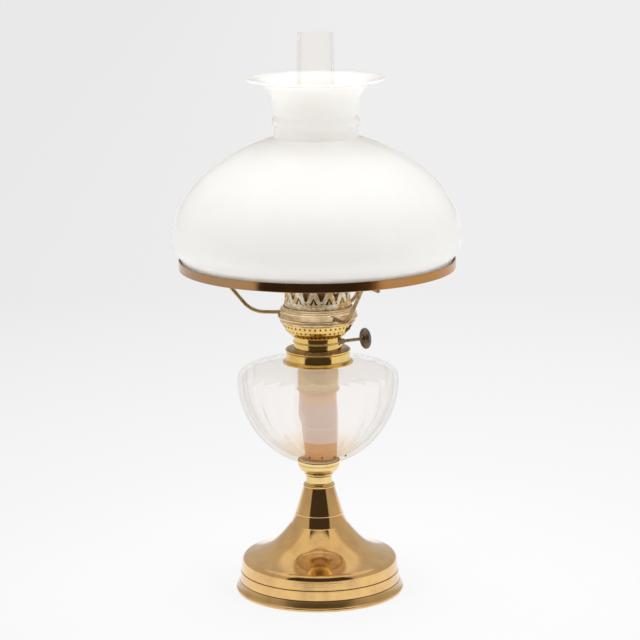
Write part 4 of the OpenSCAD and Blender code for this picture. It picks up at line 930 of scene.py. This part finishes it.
# %% Carrier wires
WIRE_R = 1.6
WIRES = 3
CARRIER_TURN = math.radians(175.5)
sweeping, size = size_tree("wires_round_axis", {
    "Wire Radius": "Float", "Copies": "Int", "Step": "Float", "Turn": "Float", "Material": "Material"})
line = add(sweeping, "GeometryNodeMeshToCurve", {"Mesh": size["Mesh"]})
section = add(sweeping, "GeometryNodeCurvePrimitiveCircle", {"Resolution": 16, "Radius": size["Wire Radius"]})
wire = add(sweeping, "GeometryNodeCurveToMesh", {
    "Curve": line.outputs[0], "Profile Curve": section.outputs[0], "Fill Caps": True})
smooth = add(sweeping, "GeometryNodeSetShadeSmooth", {"Geometry": wire.outputs[0]})
points = add(sweeping, "GeometryNodeMeshLine", {"Count": size["Copies"], "Offset": (0, 0, 0)})
index = add(sweeping, "GeometryNodeInputIndex").outputs[0]
angle = add(sweeping, "ShaderNodeMath", {
    0: index, 1: size["Step"], 2: size["Turn"]}, operation="MULTIPLY_ADD")
turn = add(sweeping, "ShaderNodeCombineXYZ", {2: angle.outputs[0]})
copies = add(sweeping, "GeometryNodeInstanceOnPoints", {
    "Points": points.outputs[0], "Instance": smooth.outputs[0], "Rotation": turn.outputs[0]})
finish_tree(sweeping, copies.outputs[0], size["Material"])

LOW_BEND, HIGH_BEND, SLOPE = 24, 10, math.radians(50)
LOW_Z, HIGH_Z, CORNER_R = 250.1, 288.9, 57.7
WIRE_START, WIRE_END, BEND_STEPS = 33.0, 117.0, 12
low_end = CORNER_R - LOW_BEND * math.tan(SLOPE / 2)
high_end = CORNER_R + (HIGH_Z - LOW_Z) / math.tan(SLOPE) + HIGH_BEND * math.tan(SLOPE / 2)
angles = [SLOPE * k / BEND_STEPS for k in range(BEND_STEPS + 1)]
low_curve = [(low_end + LOW_BEND * math.sin(a), LOW_Z + LOW_BEND * (1 - math.cos(a))) for a in angles]
high_curve = [(high_end - HIGH_BEND * math.sin(a), HIGH_Z - HIGH_BEND * (1 - math.cos(a)))
              for a in reversed(angles)]
wires = drawn("carrier_wires", [(WIRE_START, LOW_Z)] + low_curve + high_curve + [(WIRE_END, HIGH_Z)])
grown(wires, sweeping, {
    "Wire Radius": WIRE_R * MM, "Copies": WIRES, "Step": 2 * math.pi / WIRES, "Turn": CARRIER_TURN,
    "Material": aged_brass})
belongs(wires, "carrier", "brass_aged", "carrier_arm_left", "carrier_arm_front", "carrier_arm_rear")

# %% [markdown]
# The same tree sets a short dark speck at the lower end of the four front ribs of the font. These dots are
# the plainest marks on the whole glass. They could be painted in the glass's shader, but here each is a small
# drop that stands on the wall.

# %% Specks on the font
SPECK_AT, SPECK_LEN, SPECK_R = 41.5, 1.1, 0.7
SPECKS, RIB_STEP = 4, 2 * math.pi / FLUTES
CRUMB = 0.8          # size of its grain in mm

# The specks are dark brown and matt, with a fine grain.
dark_rib_dots, tree = new_material("dark_rib_dots")
place = add(tree, "ShaderNodeTexCoord").outputs["Object"]
crumb = add(tree, "ShaderNodeTexNoise", {"Vector": place, "Scale": 1 / (CRUMB * MM)})
tone = add(tree, "ShaderNodeMix", {
    "Factor": crumb.outputs[0], 6: linear(GRIME), 7: linear("6b4a2c")}, data_type="RGBA")
finish_material(tree, add(tree, "ShaderNodeBsdfPrincipled", {
    "Base Color": tone.outputs[2], "Roughness": 0.8}))

start = min(range(len(bowl_wall)), key=lambda i: abs(bowl_wall[i][0] - SPECK_AT))
foot_end = Vector(bowl_wall[start])
rib_way = (Vector(bowl_wall[start + 1]) - foot_end).normalized()
specks = drawn("rib_specks", (foot_end, foot_end + SPECK_LEN * rib_way))
grown(specks, sweeping, {
    "Wire Radius": SPECK_R * MM, "Copies": SPECKS, "Step": RIB_STEP, "Turn": FLUTE_TURN - RIB_STEP,
    "Material": dark_rib_dots})
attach(specks, "base")

# %% [markdown]
# ## Knob
# The knob that raises the wick is turned with rings on both faces and nicks round its edge.
# The nicks could be cut one by one. The turning tree gives them as 40 shallow flutes instead, and the
# finished disc is laid onto its spindle.

# %% Knob
HUB_FOOT = 35
NICKS, NICK_DEPTH, NICKED_FROM = 40, 0.45, 8.9
hub = [(1.4, 0.0), (2.5, 0.0), (2.8, 0.3), (2.8, 2.2)]
hub += arc((3.2, 2.7), (3.8, 3.0), (4.0, 3.4), (4.8, 3.4), 5)
face = [(5.1, 3.1), (5.6, 3.1), (5.9, 3.35), (6.6, 3.3), (6.9, 2.95), (7.4, 2.8), (8.0, 2.6), (8.7, 2.6)]
rim = [(9.1, 2.9), (9.3, 3.3), (9.3, 4.3), (9.1, 4.7), (8.7, 5.0)]
outside = [(7.4, 5.0), (7.0, 4.75), (6.2, 4.7), (5.8, 5.0), (1.4, 5.0)]
knob = spun("knob", hub + face + rim + outside, handled_steel, sides=NICKS * 8, flutes=NICKS,
            depth=NICK_DEPTH, press=lambda p, i: 1.0 if p[0] > NICKED_FROM else 0.0)
knob.data.transform(on_axle @ Matrix.Translation((0, 0, HUB_FOOT * MM)))
belongs(knob, "winder", "steel", "winder_knob")

# %% [markdown]
# ## Wick
# The wick is a flat band of woven cotton that the burner rolls into a tube. Below the burner it opens and
# hangs in the font, a little to one side. It is built as what it is, a sheet of even width: every row lies
# on an arc of the same length, so a wider arc closes less. A cloth simulation could drape it, but the tubes
# hold it, so its shape is known. A UV map in millimetres carries the weave.

# %% Wick
WICK_W, WICK_T = 54.6, 2.4
WICK_TOP, WICK_FOOT = 268.9, 119.6
ROWS, COLUMNS = 90, 48
# Each bend is a height, the arc's radius there, and a shift to the right.
bends = [(WICK_TOP, 10.8, 0.0), (208.0, 10.8, 0.0), (190.0, 15.0, -0.3), (171.0, 15.3, -0.5),
         (160.0, 16.0, -0.4), (148.0, 14.5, 1.0), (WICK_FOOT, 12.8, 1.9)]


def eased_between(z):
    """Radius and shift of the wick at a height."""
    for (z1, r1, x1), (z0, r0, x0) in zip(bends, bends[1:]):
        if z >= z0:
            t = (z1 - z) / (z1 - z0)
            t = t * t * (3 - 2 * t)
            return r1 + (r0 - r1) * t, x1 + (x0 - x1) * t
    return bends[-1][1:]


shape = bmesh.new()
uv = shape.loops.layers.uv.new("weave")
grid = []
lengths = {}
run = 0.0
last = None
for j in range(ROWS + 1):
    z = WICK_TOP + (WICK_FOOT - WICK_TOP) * j / ROWS
    r, x = eased_between(z)
    run += math.hypot(r - last[0], z - last[1]) if last else 0.0
    last = (r, z)
    line = []
    for i in range(COLUMNS + 1):
        s = (i / COLUMNS - 0.5) * WICK_W
        a = s / r - math.pi / 2
        vert = shape.verts.new(((x + r * math.cos(a)) * MM, r * math.sin(a) * MM, z * MM))
        lengths[vert] = (s, run)
        line.append(vert)
    grid.append(line)
for upper, lower in zip(grid, grid[1:]):
    for i in range(COLUMNS):
        patch = shape.faces.new((upper[i], lower[i], lower[i + 1], upper[i + 1]))
        patch.smooth = True
        for loop in patch.loops:
            loop[uv].uv = lengths[loop.vert]
mesh = bpy.data.meshes.new("cotton_wick")
shape.to_mesh(mesh)
shape.free()
wick = bpy.data.objects.new("cotton_wick", mesh)
bpy.context.scene.collection.objects.link(wick)
solid = wick.modifiers.new("thickness", "SOLIDIFY")
solid.thickness = WICK_T * MM
solid.offset = 0.0
print("wick faces:", len(mesh.polygons))

# %% [markdown]
# Its cotton is undyed, pinkish grey where the oil has dried and tan near the burner. Its end is amber from the
# last oil, and one pale thread lies across it. Warp and weft are two waves across each other, 1.6 mm apart,
# which is coarser than the real yarn so that it shows. Cotton is matt, with a faint sheen from its fibres.

# %% Cotton
YARN, YARN_SHARE = 1.6, 0.35
WAVE_LENGTH = 0.314              # length of one wave at scale 1
COTTON_CLOUD, WAVER = 9, 6       # size of its clouds, and how far they move the edge of the tan, in mm
TAN_FROM, TAN_FULL = 171, 176
OIL_LEVEL, OIL_BLUR = 134.6, 0.6
STRAY_THREAD, STRAY_EDGE, STRAY_CORE, STRAY_SHARE = 148, 0.6, 0.2, 0.6
cotton, tree = new_material("woven_cotton")
weave = add(tree, "ShaderNodeUVMap", uv_map="weave").outputs[0]
warp = add(tree, "ShaderNodeTexWave", {"Vector": weave, "Scale": WAVE_LENGTH / YARN}, bands_direction="X")
weft = add(tree, "ShaderNodeTexWave", {"Vector": weave, "Scale": WAVE_LENGTH / YARN}, bands_direction="Y")
yarn = add(tree, "ShaderNodeMath", {0: warp.outputs["Fac"], 1: weft.outputs["Fac"]}, operation="MULTIPLY")
place = add(tree, "ShaderNodeTexCoord").outputs["Object"]
height = add(tree, "ShaderNodeSeparateXYZ", {0: place}).outputs[2]
cloud = add(tree, "ShaderNodeTexNoise", {"Vector": place, "Scale": 1 / (COTTON_CLOUD * MM), "Detail": 3.0})
wavy = add(tree, "ShaderNodeMath", {0: cloud.outputs[0], 1: WAVER * MM, 2: height}, operation="MULTIPLY_ADD")
upper = add(tree, "ShaderNodeMapRange", {
    "Value": wavy.outputs[0], "From Min": TAN_FROM * MM, "From Max": TAN_FULL * MM})
dried = add(tree, "ShaderNodeMix", {
    "Factor": upper.outputs[0], 6: linear("dac4b6"), 7: linear("e0c2a6")}, data_type="RGBA")
low = add(tree, "ShaderNodeMapRange", {
    "Value": height, "From Min": (OIL_LEVEL + OIL_BLUR) * MM, "From Max": (OIL_LEVEL - OIL_BLUR) * MM})
wet = add(tree, "ShaderNodeMix", {
    "Factor": low.outputs[0], 6: dried.outputs[2], 7: linear("d59c5e")}, data_type="RGBA")
above = add(tree, "ShaderNodeMath", {0: height, 1: STRAY_THREAD * MM}, operation="SUBTRACT")
beside = add(tree, "ShaderNodeMath", {0: above.outputs[0]}, operation="ABSOLUTE")
stray = add(tree, "ShaderNodeMapRange", {
    "Value": beside.outputs[0], "From Min": STRAY_EDGE * MM, "From Max": STRAY_CORE * MM,
    "To Max": STRAY_SHARE})
streaked = add(tree, "ShaderNodeMix", {
    "Factor": stray.outputs[0], 6: wet.outputs[2], 7: linear("ece0d8")}, data_type="RGBA")
thread = add(tree, "ShaderNodeMath", {0: yarn.outputs[0], 1: YARN_SHARE}, operation="MULTIPLY")
threads = add(tree, "ShaderNodeMix", {
    "Factor": thread.outputs[0], 6: streaked.outputs[2], 7: linear("eedfd2")}, data_type="RGBA")
bump = add(tree, "ShaderNodeBump", {"Height": yarn.outputs[0], "Strength": 0.5, "Distance": 0.4 * MM})
finish_material(tree, add(tree, "ShaderNodeBsdfPrincipled", {
    "Base Color": threads.outputs[2], "Roughness": 0.9, "Normal": bump.outputs[0], "Sheen Weight": 0.2}))
mesh.materials.append(cotton)
belongs(wick, "wick", "cotton_wick", "wick")
print("wick", round(WICK_W, 1), "by", round(run, 1), "mm")

# %% [markdown]
# ## Finishes of the CAD parts
# Basket, gallery, spindle and the hidden parts keep their CAD shape and only get a finish.
# The tube below the burner is tinned and filmed with old oil, pale and dull behind the glass.

# %% Finishes
# Tin under a film of oil is a pale satin. The spindle's brass, which nobody polishes, is brown and blotched.
tinned = dull_metal("oil_filmed_tin", "ecd8bd", "d8bd9a", 0.5, 1.2, metal=0.2)
grimy_brass = dull_metal("grimy_brass", "b39a6e", "7d6542", 0.42, 0.6)
special = {
    "wick_guard_tube": tinned, "wick_spindle": grimy_brass, "spindle_bush": grimy_brass,
    "shade_ring": ring_brass,
}
finishes = {
    "brass_foot": spun_brass, "brass_polished": turned_brass, "brass_worn": worn_brass,
    "brass_aged": aged_brass, "cast_iron": cast_iron, "steel": handled_steel, "clear_glass": font_clear,
    "opal_glass": opal, "plaster": plaster, "cotton_wick": cotton,
}
for part in frame["record"]["subparts"]:
    finish = special.get(part["node"], finishes[part["material_slot"]])
    node = nodes[part["node"]]
    node.data.materials.clear()
    node.data.materials.append(finish)
